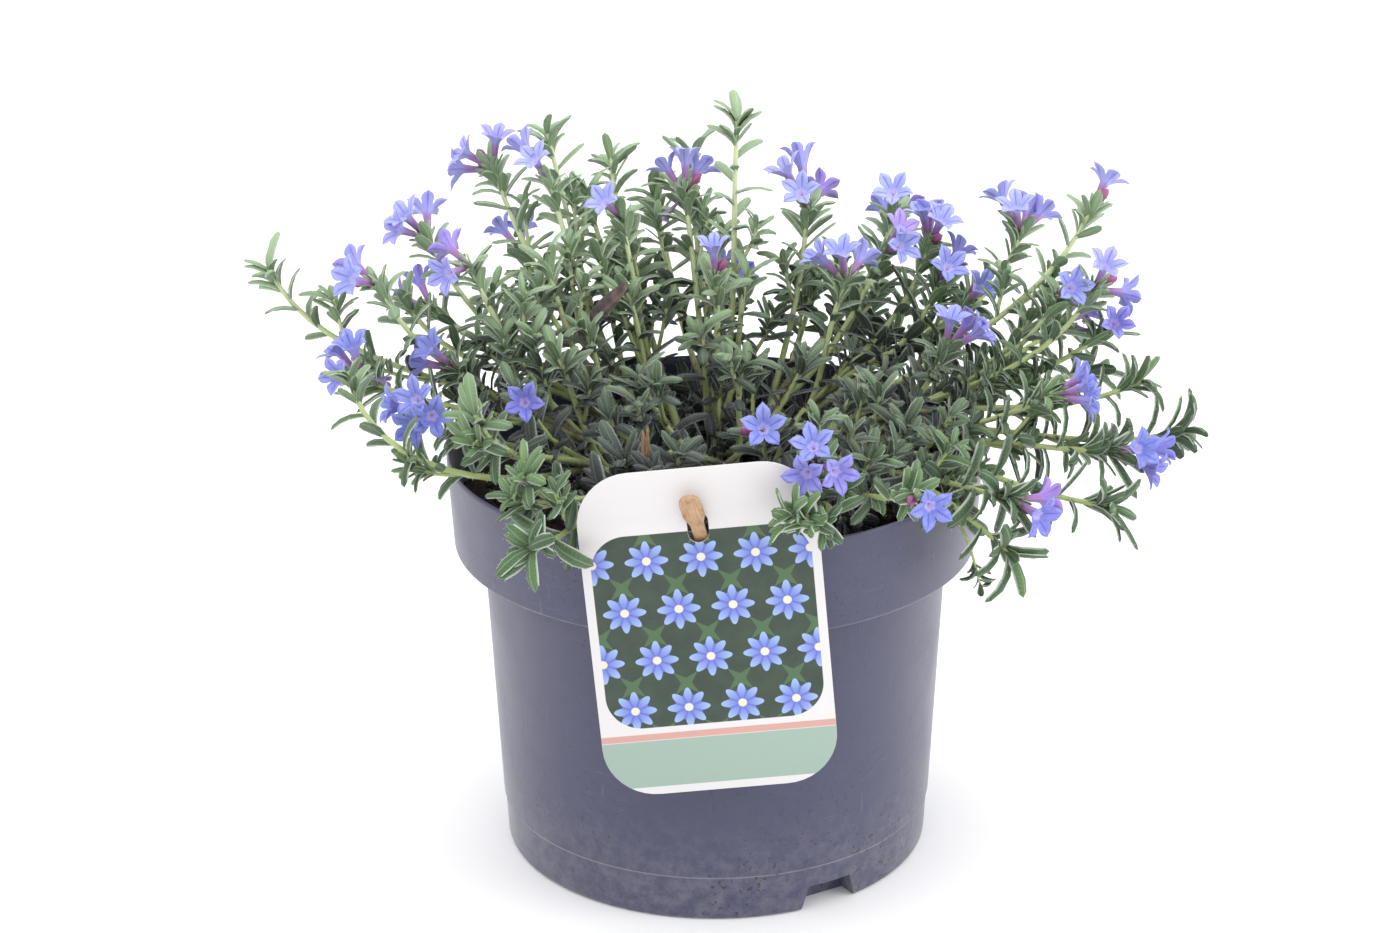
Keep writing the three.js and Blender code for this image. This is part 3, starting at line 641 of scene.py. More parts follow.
class Gathered:
    """Points in a list, with a list of values for each name that a tree reads."""

    names = ()

    def __init__(self):
        self.points = []
        self.values = {name: [] for name in self.names}

    def gather(self, point, *values):
        self.points.append(point)
        for listed, value in zip(self.values.values(), values):
            listed.append(value)


def facing(azimuth, elevation=0):
    turn, rise = math.radians(azimuth), math.radians(elevation)
    return Vector((math.cos(rise) * math.cos(turn), math.cos(rise) * math.sin(turn), math.sin(rise)))


def around(angle, radius, height):
    return Vector((radius * math.cos(angle), radius * math.sin(angle), height))


def bezier(points, share):
    """The point of a Bezier curve with any number of control points."""
    while len(points) > 1:
        points = [a.lerp(b, share) for a, b in zip(points, points[1:])]
    return points[0]


def skin(first, rows, ring, foot, top):
    """The faces of a closed skin: rows of `ring` points from the `first` one on, and a point at each end."""
    rings = [range(start, start + ring) for start in range(first, first + rows * ring, ring)]
    pairs = [(k, (k + 1) % ring) for k in range(ring)]
    faces = [(low[k], low[follow], high[follow], high[k]) for low, high in zip(rings, rings[1:])
             for k, follow in pairs]
    for k, follow in pairs:
        faces += [(foot, rings[0][follow], rings[0][k]), (top, rings[-1][k], rings[-1][follow])]
    return faces


# Leaf: a narrow, blunt blade that curls back, with rolled-down edges, a sunk midrib and a fringe of hairs.
# It grows along +Z with its upper face to -X, so it opens away from a stem as it turns about +Y.
# Its attribute `blade` holds the place across (0 to 1) and along (0 to 1); hairs have -1 across.
# A station is (place along, share of the width), a corner of the section is (across, height, place across).
BLADE_STATIONS = ((0.0, 0.4), (0.15, 0.64), (0.4, 0.92), (0.68, 1.0), (0.9, 0.76))
BLADE_SECTION = (
    (-1, -0.5, 0), (-0.55, 0.35, 0.22), (0, 0.12, 0.5), (0.55, 0.35, 0.78), (1, -0.5, 1), (0, -0.6, 0.5))
CURL_POWER = 1.3
CURL_TO_SPINE = 2.2
FOLD_AT_TIP = 0.3
FIRST_HAIR, HAIRY_SPAN = 0.08, 0.9
HAIR_INSET = 0.96
HAIR_SIZES = (0.6, 1.2)

shape_chance = random.Random(SEED + 1)


def spike(points, faces, foot, tip):
    """Adds a thin three-sided hair."""
    side = (tip - foot).orthogonal().normalized() * HAIR_RADIUS
    other = side.cross((tip - foot).normalized()) * 0.87
    first = len(points)
    points += [foot + side, foot - side / 2 + other, foot - side / 2 - other, tip]
    faces += [(first, first + 1, first + 3), (first + 1, first + 2, first + 3),
              (first + 2, first, first + 3), (first + 2, first + 1, first)]


def leaf_mesh(name, curl, fold, sway, hairs=LEAF_HAIRS, length=LEAF_LENGTH, width=LEAF_WIDTH):
    """`curl` is how far it bends back, `fold` how far its edges roll down, `sway` its sideways bend."""
    def on_blade(along, across, height):
        angle = math.radians(curl) * max(along, 0) ** CURL_POWER
        mean, aside = angle / CURL_TO_SPINE, math.radians(sway) * along
        spine = Vector((math.sin(mean), math.sin(aside), math.cos(mean))) * along * length
        normal = Vector((-math.cos(angle), 0, math.sin(angle)))
        return spine + Vector((0, across * width / 2, 0)) + normal * height

    points, blade = [], []
    for along, girth in BLADE_STATIONS:
        for across, height, place in BLADE_SECTION:
            drop = fold * width * across ** 2 * girth
            points.append(on_blade(along, across * girth, height * LEAF_THICKNESS - drop))
            blade.append((place, along, 1))
    faces = skin(0, len(BLADE_STATIONS), len(BLADE_SECTION), len(points), len(points) + 1)
    points += [on_blade(-0.02, 0, 0), on_blade(1, 0, -fold * FOLD_AT_TIP * width)]
    blade += [(0.5, 0, 1), (0.5, 1, 1)]
    for k in range(hairs):
        along = FIRST_HAIR + HAIRY_SPAN * (k + shape_chance.random()) / hairs
        girth = max(share for start, share in BLADE_STATIONS if start <= along) if along < 0.8 else 0.8
        side = 1 if k % 2 else -1
        foot = on_blade(along, side * girth * HAIR_INSET, -fold * width * girth ** 2)
        lean = Vector((shape_chance.uniform(-0.5, 0.5), side, 0.7 + shape_chance.random() * 0.5))
        tip = foot + lean.normalized() * HAIR_LENGTH * shape_chance.uniform(*HAIR_SIZES)
        spike(points, faces, foot, tip)
        blade += [(-1, along, 0)] * 4
    return smooth_shaded(new_mesh(name, points, faces, blade=blade))


# Flower: a slim tube that widens into a throat and five ovate lobes with a crease down each, along +Z.
# Its attribute `petal` holds the way out from the throat (0 to 1, and down to -1 at the tube's foot), the
# place across the lobe (0 at its crease, 1 in the cleft) and 1 on the inner face.
# Its rows of points are: on the tube (share of its length, radius), on the lobes (way out, depth, inner face
# or not) and down the throat (depth, radius, way out).
LOBE_PLACES = (0, 0.1, 0.32, 0.6, 0.84, 1)
LOBE_TILT, LOBE_LIFT = 0.35, 0.5
CLEFT = 0.39
POINT = 0.24
TUBE_ROWS = ((0, 0.75), (0.35, 1.0), (0.75, 1.35), (1, THROAT_RADIUS + 0.2))
TUBE_RIDGE = 0.06
LOBE_ROWS = ((0.35, 0.35, 0), (0.72, 0.3, 0), (1, 0.2, 0), (1, 0, 1), (0.7, 0, 1), (0.35, 0, 1))
THROAT_ROWS = ((-0.1, THROAT_RADIUS - 0.25, -0.006), (1.0, 0.7, -0.028))
THROAT_DEPTH = 1.4
FLAT_RISE, FUNNEL_RISE = 3.6, 4.2
FUNNEL_SPREAD = 0.62
CREASE_DEPTH, CREASE_WIDTH = 0.55, 0.35


def lobe_reach(across):
    """The lobe's outline: how far it reaches at a place across it, as a share of the flower's radius."""
    return CLEFT + (1 - CLEFT) * (1 - across) ** 0.53 - POINT * (across ** 0.5 - across)


def flower_mesh(name, opening, cupped):
    """`opening` is 1 on a flat flower and less on a funnel, `cupped` lifts the lobes' edges."""
    places = []
    for lobe in range(LOBES):
        tilt, lift = shape_chance.uniform(-LOBE_TILT, LOBE_TILT), shape_chance.uniform(-LOBE_LIFT, LOBE_LIFT)
        for side, row in ((-1, LOBE_PLACES[:0:-1]), (1, LOBE_PLACES[:-1])):
            for across in row:
                angle = (lobe + side * across / 2) * 2 * math.pi / LOBES
                places.append((angle, across, tilt * side * across, lift * (1 - across)))

    def limb_point(share, angle, across, tilt, lift, sunk):
        way = THROAT_RADIUS + (lobe_reach(across) * FLOWER_RADIUS - THROAT_RADIUS) * share
        out = (way - THROAT_RADIUS) / (FLOWER_RADIUS - THROAT_RADIUS)
        bend = math.sin(min(1.15 * out, 1) * math.pi / 2)
        height = TUBE_LENGTH + (FLAT_RISE + FUNNEL_RISE * (1 - opening)) * bend
        height += (cupped * across ** 2 + tilt + lift * out) * share
        height -= CREASE_DEPTH * share * max(0, 1 - across / CREASE_WIDTH) * (1 - 0.6 * share)
        spread = THROAT_RADIUS + (way - THROAT_RADIUS) * (FUNNEL_SPREAD + (1 - FUNNEL_SPREAD) * opening)
        return around(angle, spread, height - sunk)

    points, petal = [Vector((0, 0, 0))], [(-1, 0, 0)]
    for share, girth in TUBE_ROWS:
        for angle, across, _, _ in places:
            points.append(around(angle, girth * (1 + TUBE_RIDGE * (1 - across)), share * TUBE_LENGTH))
            petal.append((share - 1, across, 0))
    for share, sunk, inner in LOBE_ROWS:
        for angle, across, tilt, lift in places:
            points.append(limb_point(share, angle, across, tilt, lift, sunk))
            petal.append((share, across, inner))
    for depth, girth, out in THROAT_ROWS:
        for angle, across, _, _ in places:
            points.append(around(angle, girth, TUBE_LENGTH - depth))
            petal.append((out, across, 1))
    faces = skin(1, len(TUBE_ROWS + LOBE_ROWS + THROAT_ROWS), len(places), 0, len(points))
    points.append(Vector((0, 0, TUBE_LENGTH - THROAT_DEPTH)))
    petal.append((-0.1, 0, 1))
    return smooth_shaded(new_mesh(name, points, faces, petal=petal))


# Bud: rows of (share of its length, radius), with ridges where its head begins
BUD_ROWS = ((0.02, 0.75), (0.35, 0.95), (0.55, 1.2), (0.7, 1.75), (0.85, 1.4875), (0.95, 0.7))
BUD_HEAD = 0.5


def bud_mesh(name):
    """A closed bud: a slim tube under a pointed, twisted head."""
    points, petal = [Vector((0, 0, 0))], [(-1, 0, 0)]
    for share, radius in BUD_ROWS:
        for k in range(BUD_SIDES):
            ridge = 1 + (0.12 if k % 2 else -0.06) * (share > BUD_HEAD)
            angle = 2 * math.pi * k / BUD_SIDES + BUD_TWIST * share
            points.append(around(angle, radius * ridge, share * BUD_LENGTH))
            petal.append((share - 1, k % 2, 0))
    faces = skin(1, len(BUD_ROWS), BUD_SIDES, 0, len(points))
    points.append(Vector((0, 0, BUD_LENGTH)))
    petal.append((0, 0, 0))
    return smooth_shaded(new_mesh(name, points, faces, petal=petal))


# Finishes of the plant
def leaf_material():
    """Grey-green, hairy: a pale midrib, silvery edges, fresh green at the tips and dark at the foot. Painted
    shade darkens leaves inside the plant, and painted light pales leaves high up.
    """
    made = new_material("hairy_leaf")
    across, along, _ = attribute(made, "blade", "Vector").axes()
    off_rib = abs(across - 0.5) * 2
    age, shade, place = attribute(made, "age"), attribute(made, "shade"), place_in(made)
    painted_shade, high = painted_shade_and_light(made)
    mottle, fuzz = place.noise(260), place.noise(2600, 2)
    fresh = shade.mix((0.05, 0.125, 0.026), (0.09, 0.19, 0.048))
    grown_up = shade.mix((0.021, 0.07, 0.017), (0.047, 0.108, 0.034))
    # Colour of old leaves, also used for the painted shade of leaves inside the plant.
    aged_and_shaded = shade.mix((0.025, 0.031, 0.033), (0.04, 0.047, 0.048))
    withered = mottle.smooth(0.35, 0.65).mix((0.035, 0.022, 0.022), (0.12, 0.075, 0.06))
    # Mask of that dark colour: real age, and painted shade inside the plant.
    dark = age.smooth(0.6, 1.0).most(painted_shade * 0.96)
    colour = age.smooth(0.05, 0.4).mix(fresh, grown_up)
    # Painted light: leaves high up are paled towards a light green.
    colour = (high * 0.8).mix(colour, (0.33, 0.47, 0.27))
    colour = dark.mix(colour, aged_and_shaded)
    colour = (mottle.smooth(0.35, 0.7) * 0.15 * (1 - dark)).mix(colour, (0.16, 0.2, 0.13))
    vein = (abs((along * 11 + off_rib * 1.4) % 1 - 0.5) * 2).smooth(0.75, 0.98) * off_rib.smooth(0.1, 0.3)
    rib, edge = off_rib.smooth(0.16, 0.04), off_rib.smooth(0.77, 0.95)
    # The silvery edges are dimmed under the same mask, partly painted shade.
    silver = dark.mix((0.68, 0.74, 0.65), (0.52, 0.56, 0.55))
    pale = (rib * 0.16).most(edge * 0.75).most(vein * 0.08).most(fuzz.smooth(0.6, 0.76) * 0.12)
    colour = (pale * (1 - dark * 0.3)).mix(colour, silver)
    colour = (age.smooth(1.6, 1.9) * (1 - edge * 0.3)).mix(colour, withered)
    colour = (across < -0.5).mix(colour, (0.72, 0.76, 0.7))
    return fed(made, bump=(mottle * 0.1 - rib * 0.25 - vein * 0.1 + fuzz * 0.12, 0.5), base_color=colour,
               roughness=fuzz.lerp(0.5, 0.75), sheen_weight=0.12,
               subsurface_weight=0.12, subsurface_radius=(0.0008, 0.0014, 0.0005))


def stem_material():
    """Pale yellow-green, browner and woody towards the soil; painted light pales stems high up and painted
    shade darkens them inside the plant.
    """
    made = new_material("hairy_stem")
    age, place = attribute(made, "age"), place_in(made)
    painted_shade, high = painted_shade_and_light(made)
    mottle, streak = place.noise(420), place.stretched(1500, 1500, 250).noise(1.0)
    green = mottle.mix((0.29, 0.38, 0.13), (0.45, 0.53, 0.24))
    # Painted light: stems high up are paled.
    green = (high * 0.7).mix(green, (0.7, 0.76, 0.52))
    # Painted shade: stems inside the plant are darkened a little.
    green = (painted_shade * 0.15).mix(green, (0.16, 0.18, 0.09))
    wood = streak.mix((0.05, 0.034, 0.024), (0.15, 0.115, 0.075))
    colour = (age + mottle * 0.3).smooth(0.85, 1.15).mix(green, wood)
    return fed(made, bump=(streak + mottle, 0.3), base_color=colour, roughness=0.6,
               subsurface_weight=0.1, subsurface_radius=(0.001, 0.0012, 0.0005))


def hair_material():
    made = new_material("plant_hair")
    tone = place_in(made).noise(900)
    return fed(made, base_color=tone.mix((0.5, 0.56, 0.44), (0.74, 0.78, 0.7)), roughness=0.5)


def petal_material():
    """Violet-blue lobes with a darker crease and veins, a pale eye, and a tube that turns pink below; painted
    light pales flowers high up and painted shade darkens those inside the plant.
    """
    made = new_material("petal")
    out, across, inner = attribute(made, "petal", "Vector").axes()
    tint, age, shade = attribute(made, "tint"), attribute(made, "age"), attribute(made, "shade")
    mottle = place_in(made).noise(500)
    painted_shade, high = painted_shade_and_light(made)
    blue = shade.mix((0.13, 0.165, 0.55), (0.21, 0.255, 0.63))
    violet = shade.mix((0.27, 0.13, 0.5), (0.38, 0.18, 0.56))
    colour = tint.mix(blue, violet)
    colour = (mottle.smooth(0.4, 0.75) * 0.35).mix(colour, (0.38, 0.42, 0.86))
    # Painted light: flowers high up are paled, violet ones less.
    colour = (high * (1 - tint * 0.6) * 0.6).mix(colour, (0.52, 0.55, 0.9))
    # Painted shade: flowers inside the plant are darkened a little.
    colour = (painted_shade * 0.25).mix(colour, (0.1, 0.12, 0.6))
    veins = (abs((across * 2.6 - out * 0.9) % 1 - 0.5) * 2).smooth(0.8, 0.97) * out.smooth(0.05, 0.2)
    crease = across.smooth(0.16, 0.02) * out.smooth(1.05, 0.6)
    colour = (crease * 0.6).most(veins * 0.2).mix(colour, (0.09, 0.06, 0.55))
    under = 1 - inner
    colour = (under * 0.3).mix(colour, (0.34, 0.26, 0.8))
    tube = out.smooth(-0.95, -0.25).mix((0.2, 0.055, 0.11), (0.32, 0.16, 0.4))
    colour = (out.smooth(0.12, -0.25) * under).mix(colour, tube)
    eye = out.smooth(0.2, 0.03) * inner
    colour = (eye * (0.6 + crease * 0.4)).mix(colour, (0.7, 0.62, 0.88))
    colour = (out.smooth(-0.03, -0.08) * inner).mix(colour, (0.42, 0.2, 0.5))
    colour = age.mix(colour, mottle.mix((0.12, 0.07, 0.12), (0.33, 0.28, 0.5)))
    return fed(made, bump=(mottle * 0.3 - crease * 0.5 - veins * 0.15, 0.4), base_color=colour,
               roughness=0.5, sheen_weight=0.15,
               subsurface_weight=0.45, subsurface_radius=(0.0012, 0.0012, 0.002))


def bud_material():
    made = new_material("flower_bud")
    out, ridge, _ = attribute(made, "petal", "Vector").axes()
    mottle = place_in(made).noise(700)
    colour = out.smooth(-0.6, -0.1).mix((0.19, 0.06, 0.11), (0.28, 0.05, 0.17))
    colour = (ridge * 0.35).mix(colour, (0.45, 0.2, 0.36))
    colour = (mottle.smooth(0.4, 0.8) * 0.3).mix(colour, (0.18, 0.08, 0.28))
    return fed(made, bump=(mottle, 0.2), base_color=colour, roughness=0.5,
               subsurface_weight=0.15, subsurface_radius=(0.0015, 0.0008, 0.001))


LEAF = leaf_material()
STEM = stem_material()
HAIR = hair_material()
PETAL = petal_material()
BUD = bud_material()


# Trees of the plant
def leaves_on(tree, given, points, frame_turn, seed, is_tuft):
    """Sets a leaf on each point: wound round the stem, opened away from it, lifted a little to the light."""
    def chance(k, low, high):
        return (given["Seed"] + (seed + k)).drawn(low, high)

    wind = add(tree, "GeometryNodeInputIndex") * GOLDEN_ANGLE + chance(0, -0.3, 0.3)
    if is_tuft:
        opening = given["Tip Opening"] * chance(1, 0.15, 1.2)
        size, age = chance(2, 0.6, 0.95), chance(3, 0.0, 0.15)
    else:
        along = named(tree, "along")
        opening = (along ** 3).lerp(given["Low Opening"], given["Tip Opening"]) + chance(1, -0.25, 0.25)
        size, age = chance(2, 0.8, 1.1), (1 - along) * 0.7 + 0.22
    rotation = frame_turn.spun((0, 0, 1), wind).spun((0, 1, 0), opening)
    rotation = rotation.spun((0, 0, 1), chance(4, -0.35, 0.35))
    heading = add(tree, "FunctionNodeRotateVector", None, {0: (0, 0, 1), 1: rotation})
    light = add(tree, "ShaderNodeCombineXYZ", None, {"Z": given["Lift"]})
    lifted = add(tree, "ShaderNodeVectorMath", {"operation": "ADD"}, {0: heading, 1: light})
    rotation = add(tree, "FunctionNodeAlignRotationToVector", {"axis": "Z", "pivot_axis": "AUTO"}, {
        "Rotation": rotation, "Vector": lifted})
    points = points.stored("age", age + named(tree, "mature")).stored("shade", chance(5, 0.0, 1.0))
    kind = add(tree, "FunctionNodeRandomValue", {"data_type": "INT"}, {
        4: 0, 5: len(LEAF_SHAPES) - 1, "Seed": given["Seed"] + (seed + 6)}, 2)
    return points.set_with(shapes_in(given["Leaves"]), rotation, size * named(tree, "growth"), kind)


def leafy_tree():
    """Sweeps each line of the source into a stem, sets leaves along it on a winding spiral with a tuft at
    its end, and covers it with short hairs. The lines carry what the class Lines names."""
    tree, given = geometry_tree("leafy_stems", {
        "Leaf Spacing": "Float", "Thinning": "Float", "Tuft Span": "Float", "Tuft Leaves": "Int",
        "Low Opening": "Float", "Tip Opening": "Float", "Lift": "Float", "Hair Density": "Float",
        "Seed": "Int", "Leaves": "Collection", "Hair": "Object"})
    lines, seed = add(tree, "GeometryNodeMeshToCurve", None, {0: given["Geometry"]}), given["Seed"]
    section = add(tree, "GeometryNodeCurvePrimitiveCircle", {"mode": "RADIUS"}, {
        "Resolution": STEM_SIDES, "Radius": 1.0})
    stems = add(tree, "GeometryNodeCurveToMesh", None, {
        "Curve": lines, "Profile Curve": section, "Scale": named(tree, "thickness"), "Fill Caps": True})
    stems = stems.stored("age", 1 - named(tree, "along"))

    spots = add(tree, "GeometryNodeCurveToPoints", {"mode": "LENGTH"}, {
        "Curve": lines, "Length": given["Leaf Spacing"]})
    thin = (seed + 5).drawn(0.0, 1.0) * given["Thinning"]
    clad = add(tree, "GeometryNodeDeleteGeometry", {"domain": "POINT"}, {
        "Geometry": spots, "Selection": named(tree, "along") < named(tree, "bare") + thin})
    leafy_lines = add(tree, "GeometryNodeDeleteGeometry", {"domain": "CURVE"}, {
        "Geometry": lines, "Selection": named(tree, "bare") > 1})
    span = add(tree, "GeometryNodeSplineLength")
    ends = add(tree, "GeometryNodeTrimCurve", {"mode": "LENGTH"}, {
        "Curve": leafy_lines, 4: span - given["Tuft Span"], 5: span})
    tufts = add(tree, "GeometryNodeCurveToPoints", {"mode": "COUNT"}, {
        "Curve": ends, "Count": given["Tuft Leaves"]})
    leaves = joined_geometry(tree, leaves_on(tree, given, clad, spots.also("Rotation"), 10, False),
                             leaves_on(tree, given, tufts, tufts.also("Rotation"), 30, True))

    roots = add(tree, "GeometryNodeDistributePointsOnFaces", None, {
        "Mesh": stems, "Density": given["Hair Density"], "Seed": seed})
    lean = roots.also("Rotation").spun((1, 0, 0), (seed + 51).drawn(-0.6, 0.6))
    hairs = roots.set_with(shape_of(given["Hair"]), lean, (seed + 52).drawn(0.6, 1.3))
    return ended(tree, joined_geometry(
        tree, stems.coated(STEM), leaves.realized().coated(LEAF), hairs.realized().coated(HAIR)))


def set_out_tree():
    """Sets a shape on each point of the source, as its attributes `turn`, `size` and `kind` say."""
    tree, given = geometry_tree("set_out", {"Shapes": "Collection", "Finish": "Material"})
    spots = add(tree, "GeometryNodeMeshToPoints", None, {0: given["Geometry"]})
    placed = spots.set_with(shapes_in(given["Shapes"]), named(tree, "turn", "QUATERNION"),
                            named(tree, "size", "FLOAT_VECTOR"), named(tree, "kind", "INT"))
    return ended(tree, placed.realized().coated(given["Finish"]))


# Lines that the stems follow
draws = random.Random(SEED)


class Lines(Gathered):
    """The centre lines of one spray, with what the leafy tree reads at each point."""

    names = ("thickness", "along", "growth", "mature", "bare")

    def __init__(self):
        super().__init__()
        self.edges = []

    def trace(self, controls, steps, radii, bare, growth=1.0, mature=0.0, wobble=0.8):
        """Follows the Bezier curve of the control points, tapering and swaying a little."""
        sway = Vector((draws.uniform(-1, 1), draws.uniform(-1, 1), draws.uniform(-0.5, 0.5))) * wobble
        first = len(self.points)
        for k in range(steps + 1):
            share = k / steps
            radius = radii[0] + (radii[1] - radii[0]) * share
            point = bezier(controls, share) + sway * math.sin(2 * math.pi * share)
            self.gather(point, radius * MM, share, growth, mature, bare)
        self.edges += [(first + k, first + k + 1) for k in range(steps)]


def shoot_points(fork, each):
    """The control points of a shoot from its fork to its tip."""
    tip = Vector(each["tip"])
    if each["bend"]:
        return [fork, *map(Vector, each["bend"]), tip]
    span = tip - fork
    outward = Vector((span.x, span.y, 0)).normalized()
    low = fork + outward * SHOOT_SPREAD * span.length
    low.z = fork.z + SHOOT_LIFT * span.length
    rise = math.radians(each["rise"])
    heading = outward * math.cos(rise) + UP * math.sin(rise)
    return [fork, low, tip - heading * SHOOT_HEAD * span.length, tip]


def spray_lines(azimuth, root, fork, shoots):
    """A spray's main stem, its shoots, the side twigs on them and the low twigs that cover the soil."""
    lines = Lines()
    foot = facing(azimuth) * root
    collar = foot + UP * (SOIL_LEVEL + SOIL_DOME)
    turn = [collar, collar + UP * STEM_STRAIGHT, facing(azimuth) * fork[0] + UP * fork[1]]
    sunk = foot + UP * (SOIL_LEVEL - STEM_SUNK)
    lines.trace([sunk, collar], SUNK_STEPS, (MAIN_RADIUS, MAIN_RADIUS), LEAFLESS, wobble=0)
    lines.trace(turn, STEM_STEPS, (MAIN_RADIUS, FORK_RADIUS), LEAFLESS, wobble=0)
    order = sorted(range(len(shoots)), key=lambda k: -math.hypot(*shoots[k]["tip"][:2]))
    curves = []
    for k, each in enumerate(shoots):
        controls = shoot_points(bezier(turn, 1 - BRANCHED_SHARE * order.index(k) / len(shoots)), each)
        curves.append(controls)
        hangs = each["rise"] < HANGS_BELOW_RISE
        lines.trace(controls, SHOOT_STEPS, (SHOOT_RADIUS, TIP_RADIUS), BARE_SHARE,
                    HANGING_SHOOT_GROWTH if hangs else 1, HANGING_SHOOT_AGE if hangs else 0)
        for _ in range(SIDE_TWIGS if controls[-1].xy.length > OUTER_RADIUS else 1):
            side_twig(lines, controls)
    for _ in range(LOW_TWIGS):
        low_twig(lines, collar, azimuth)
    return lines, curves


def hides_flowers(point):
    """Whether a leafy tip at the point would stand before a cluster of flowers, as the camera sees them."""
    view = facing(-90, CAMERA_ELEVATION)
    for _, _, _, shoots in SPRAYS:
        for each in shoots:
            offset = point - Vector(each["tip"])
            nearer = offset.dot(view)
            if each["flowers"] and nearer > 0 and (offset - view * nearer).length < CLEAR_VIEW:
                return True
    return False


def side_twig(lines, controls):
    """A short leafy twig that leaves a shoot part of the way up."""
    for _ in range(TWIG_TRIES):
        share = draws.uniform(*TWIG_STARTS)
        start = bezier(controls, share)
        heading = (bezier(controls, share + 0.02) - start).normalized()
        spread = heading.cross(facing(draws.uniform(0, 360), draws.uniform(-20, 20))).normalized()
        aim = (heading * TWIG_AIM[0] + spread * TWIG_AIM[1] + UP * TWIG_AIM[2]).normalized()
        length = draws.uniform(*TWIG_LENGTHS) * (1.1 - 0.5 * share)
        tip = start + aim * length + UP * length * TWIG_RISE
        if not hides_flowers(tip):
            lines.trace([start, start + aim * length * TWIG_BEND, tip], TWIG_STEPS, TWIG_RADII,
                        TWIG_BARE_SHARE, draws.uniform(*TWIG_GROWTH), TWIG_AGE, TWIG_SWAY)
            return


def low_twig(lines, collar, azimuth):
    """A short aged twig that leans over the soil with larger, darker leaves."""
    out = facing(azimuth + draws.uniform(*LOW_TWIG_SPREAD))
    length = draws.uniform(*LOW_TWIG_LENGTHS)
    start = collar + UP * draws.uniform(*LOW_TWIG_STARTS)
    tip = start + out * length + UP * draws.uniform(*LOW_TWIG_RISES)
    inside = LOW_TWIG_REACH / max(tip.xy.length, LOW_TWIG_REACH)
    tip = Vector((tip.x * inside, tip.y * inside, tip.z))
    arch = start + out * length * LOW_TWIG_BEND + UP * LOW_TWIG_ARCH
    lines.trace([start, arch, tip], TWIG_STEPS, LOW_TWIG_RADII, 0,
                draws.uniform(*LOW_TWIG_GROWTH), LOW_TWIG_AGE, LOW_TWIG_SWAY)


class Spots(Gathered):
    """Points that take a shape each."""

    names = ("turn", "size", "kind", "shade", "age", "tint")

    def put(self, point, turn, size=(1, 1, 1), kind=0, shade=0.5, age=0.0, tint=0.0):
        self.gather(point, tuple(turn), size, kind, shade, age, tint)

    def set_out(self, name, store, finish):
        source = new_mesh(name, self.points, **self.values)
        return grown(name, source, set_out, {"Shapes": store, "Finish": finish})


def along_axis(direction, roll):
    """The turn that takes +Z to a direction, with a roll about it."""
    return direction.to_track_quat("Z", "Y") @ Quaternion((0, 0, 1), roll)


# Foliage
leaf_store = shape_store("leaf_shape", [
    leaf_mesh(f"leaf_shape_{k}", *shape) for k, shape in enumerate(LEAF_SHAPES)])
hair_points, hair_faces = [], []
spike(hair_points, hair_faces, Vector((0, 0, 0)), Vector((0, 0, HAIR_LENGTH)))
hair_shape = bpy.data.objects.new("hair_shape", new_mesh("hair_shape", hair_points, hair_faces))
leafy = leafy_tree()
set_out = set_out_tree()


def dead_leaves(leaves):
    """Dead leaves caught in a spray."""
    spots = Spots()
    for foot, azimuth, elevation, roll in leaves:
        turn = along_axis(facing(azimuth, elevation), math.radians(roll))
        spots.put(Vector(foot), turn, SPENT_LEAF_SIZE, SPENT_LEAF_KIND, age=SPENT_LEAF_AGE)
    return spots.set_out("dead_leaves", leaf_store, LEAF)


def make_foliage(number, spray):
    """Makes the stems and leaves of a spray; returns the control points of its shoots."""
    lines, curves = spray_lines(*spray)
    if number in HANGING_TWIGS:
        route = [Vector(point) for point in HANGING_TWIGS[number]]
        lines.trace(route, HANGING_TWIG_STEPS, HANGING_TWIG_RADII, HANGING_TWIG_BARE_SHARE,
                    HANGING_TWIG_GROWTH, HANGING_TWIG_AGE, 0)
    source = new_mesh("spray_lines", lines.points, (), lines.edges, **lines.values)
    foliage = grown(f"spray_{number:02}_foliage", source, leafy, {
        "Leaf Spacing": LEAF_SPACING * MM, "Thinning": 0.3, "Tuft Span": TUFT_LENGTH * MM,
        "Tuft Leaves": TUFT_LEAVES, "Low Opening": 1.1, "Tip Opening": 0.65, "Lift": 0.1,
        "Hair Density": HAIRS_TO_SQUARE_METRE, "Seed": SEED + 100 * number, "Leaves": leaf_store,
        "Hair": hair_shape})
    if number in DEAD_LEAVES:
        foliage = joined(foliage.name, [foliage, dead_leaves(DEAD_LEAVES[number])])
    kept(foliage, f"spray_{number:02}")
    return curves


spray_curves = [make_foliage(number, spray) for number, spray in enumerate(SPRAYS, 1)]

# Blooms
flower_store = shape_store("flower_shape", [
    flower_mesh(f"flower_shape_{k}", *shape) for k, shape in enumerate(FLOWER_SHAPES)])
bud_store = shape_store("bud_shape", [bud_mesh("bud_shape_0")])
sepal_store = shape_store("sepal_shape", [
    leaf_mesh(f"sepal_shape_{k}", 18, 0.05, 0, 6, SEPAL_LENGTH, SEPAL_WIDTH) for k in range(SEPAL_SHAPES)])


def put_sepals(sepals, seat, direction, roll):
    """A calyx of narrow sepals round the foot of a flower or bud."""
    for k in range(LOBES):
        lean = along_axis(direction, roll + 2 * math.pi * k / LOBES) @ Quaternion((0, 1, 0), SEPAL_LEAN)
        sepals.put(seat + lean @ SEPAL_FOOT, lean, (1, 1, draws.uniform(*SEPAL_SIZES)), k % SEPAL_SHAPES,
                   draws.random(), SEPAL_AGE)


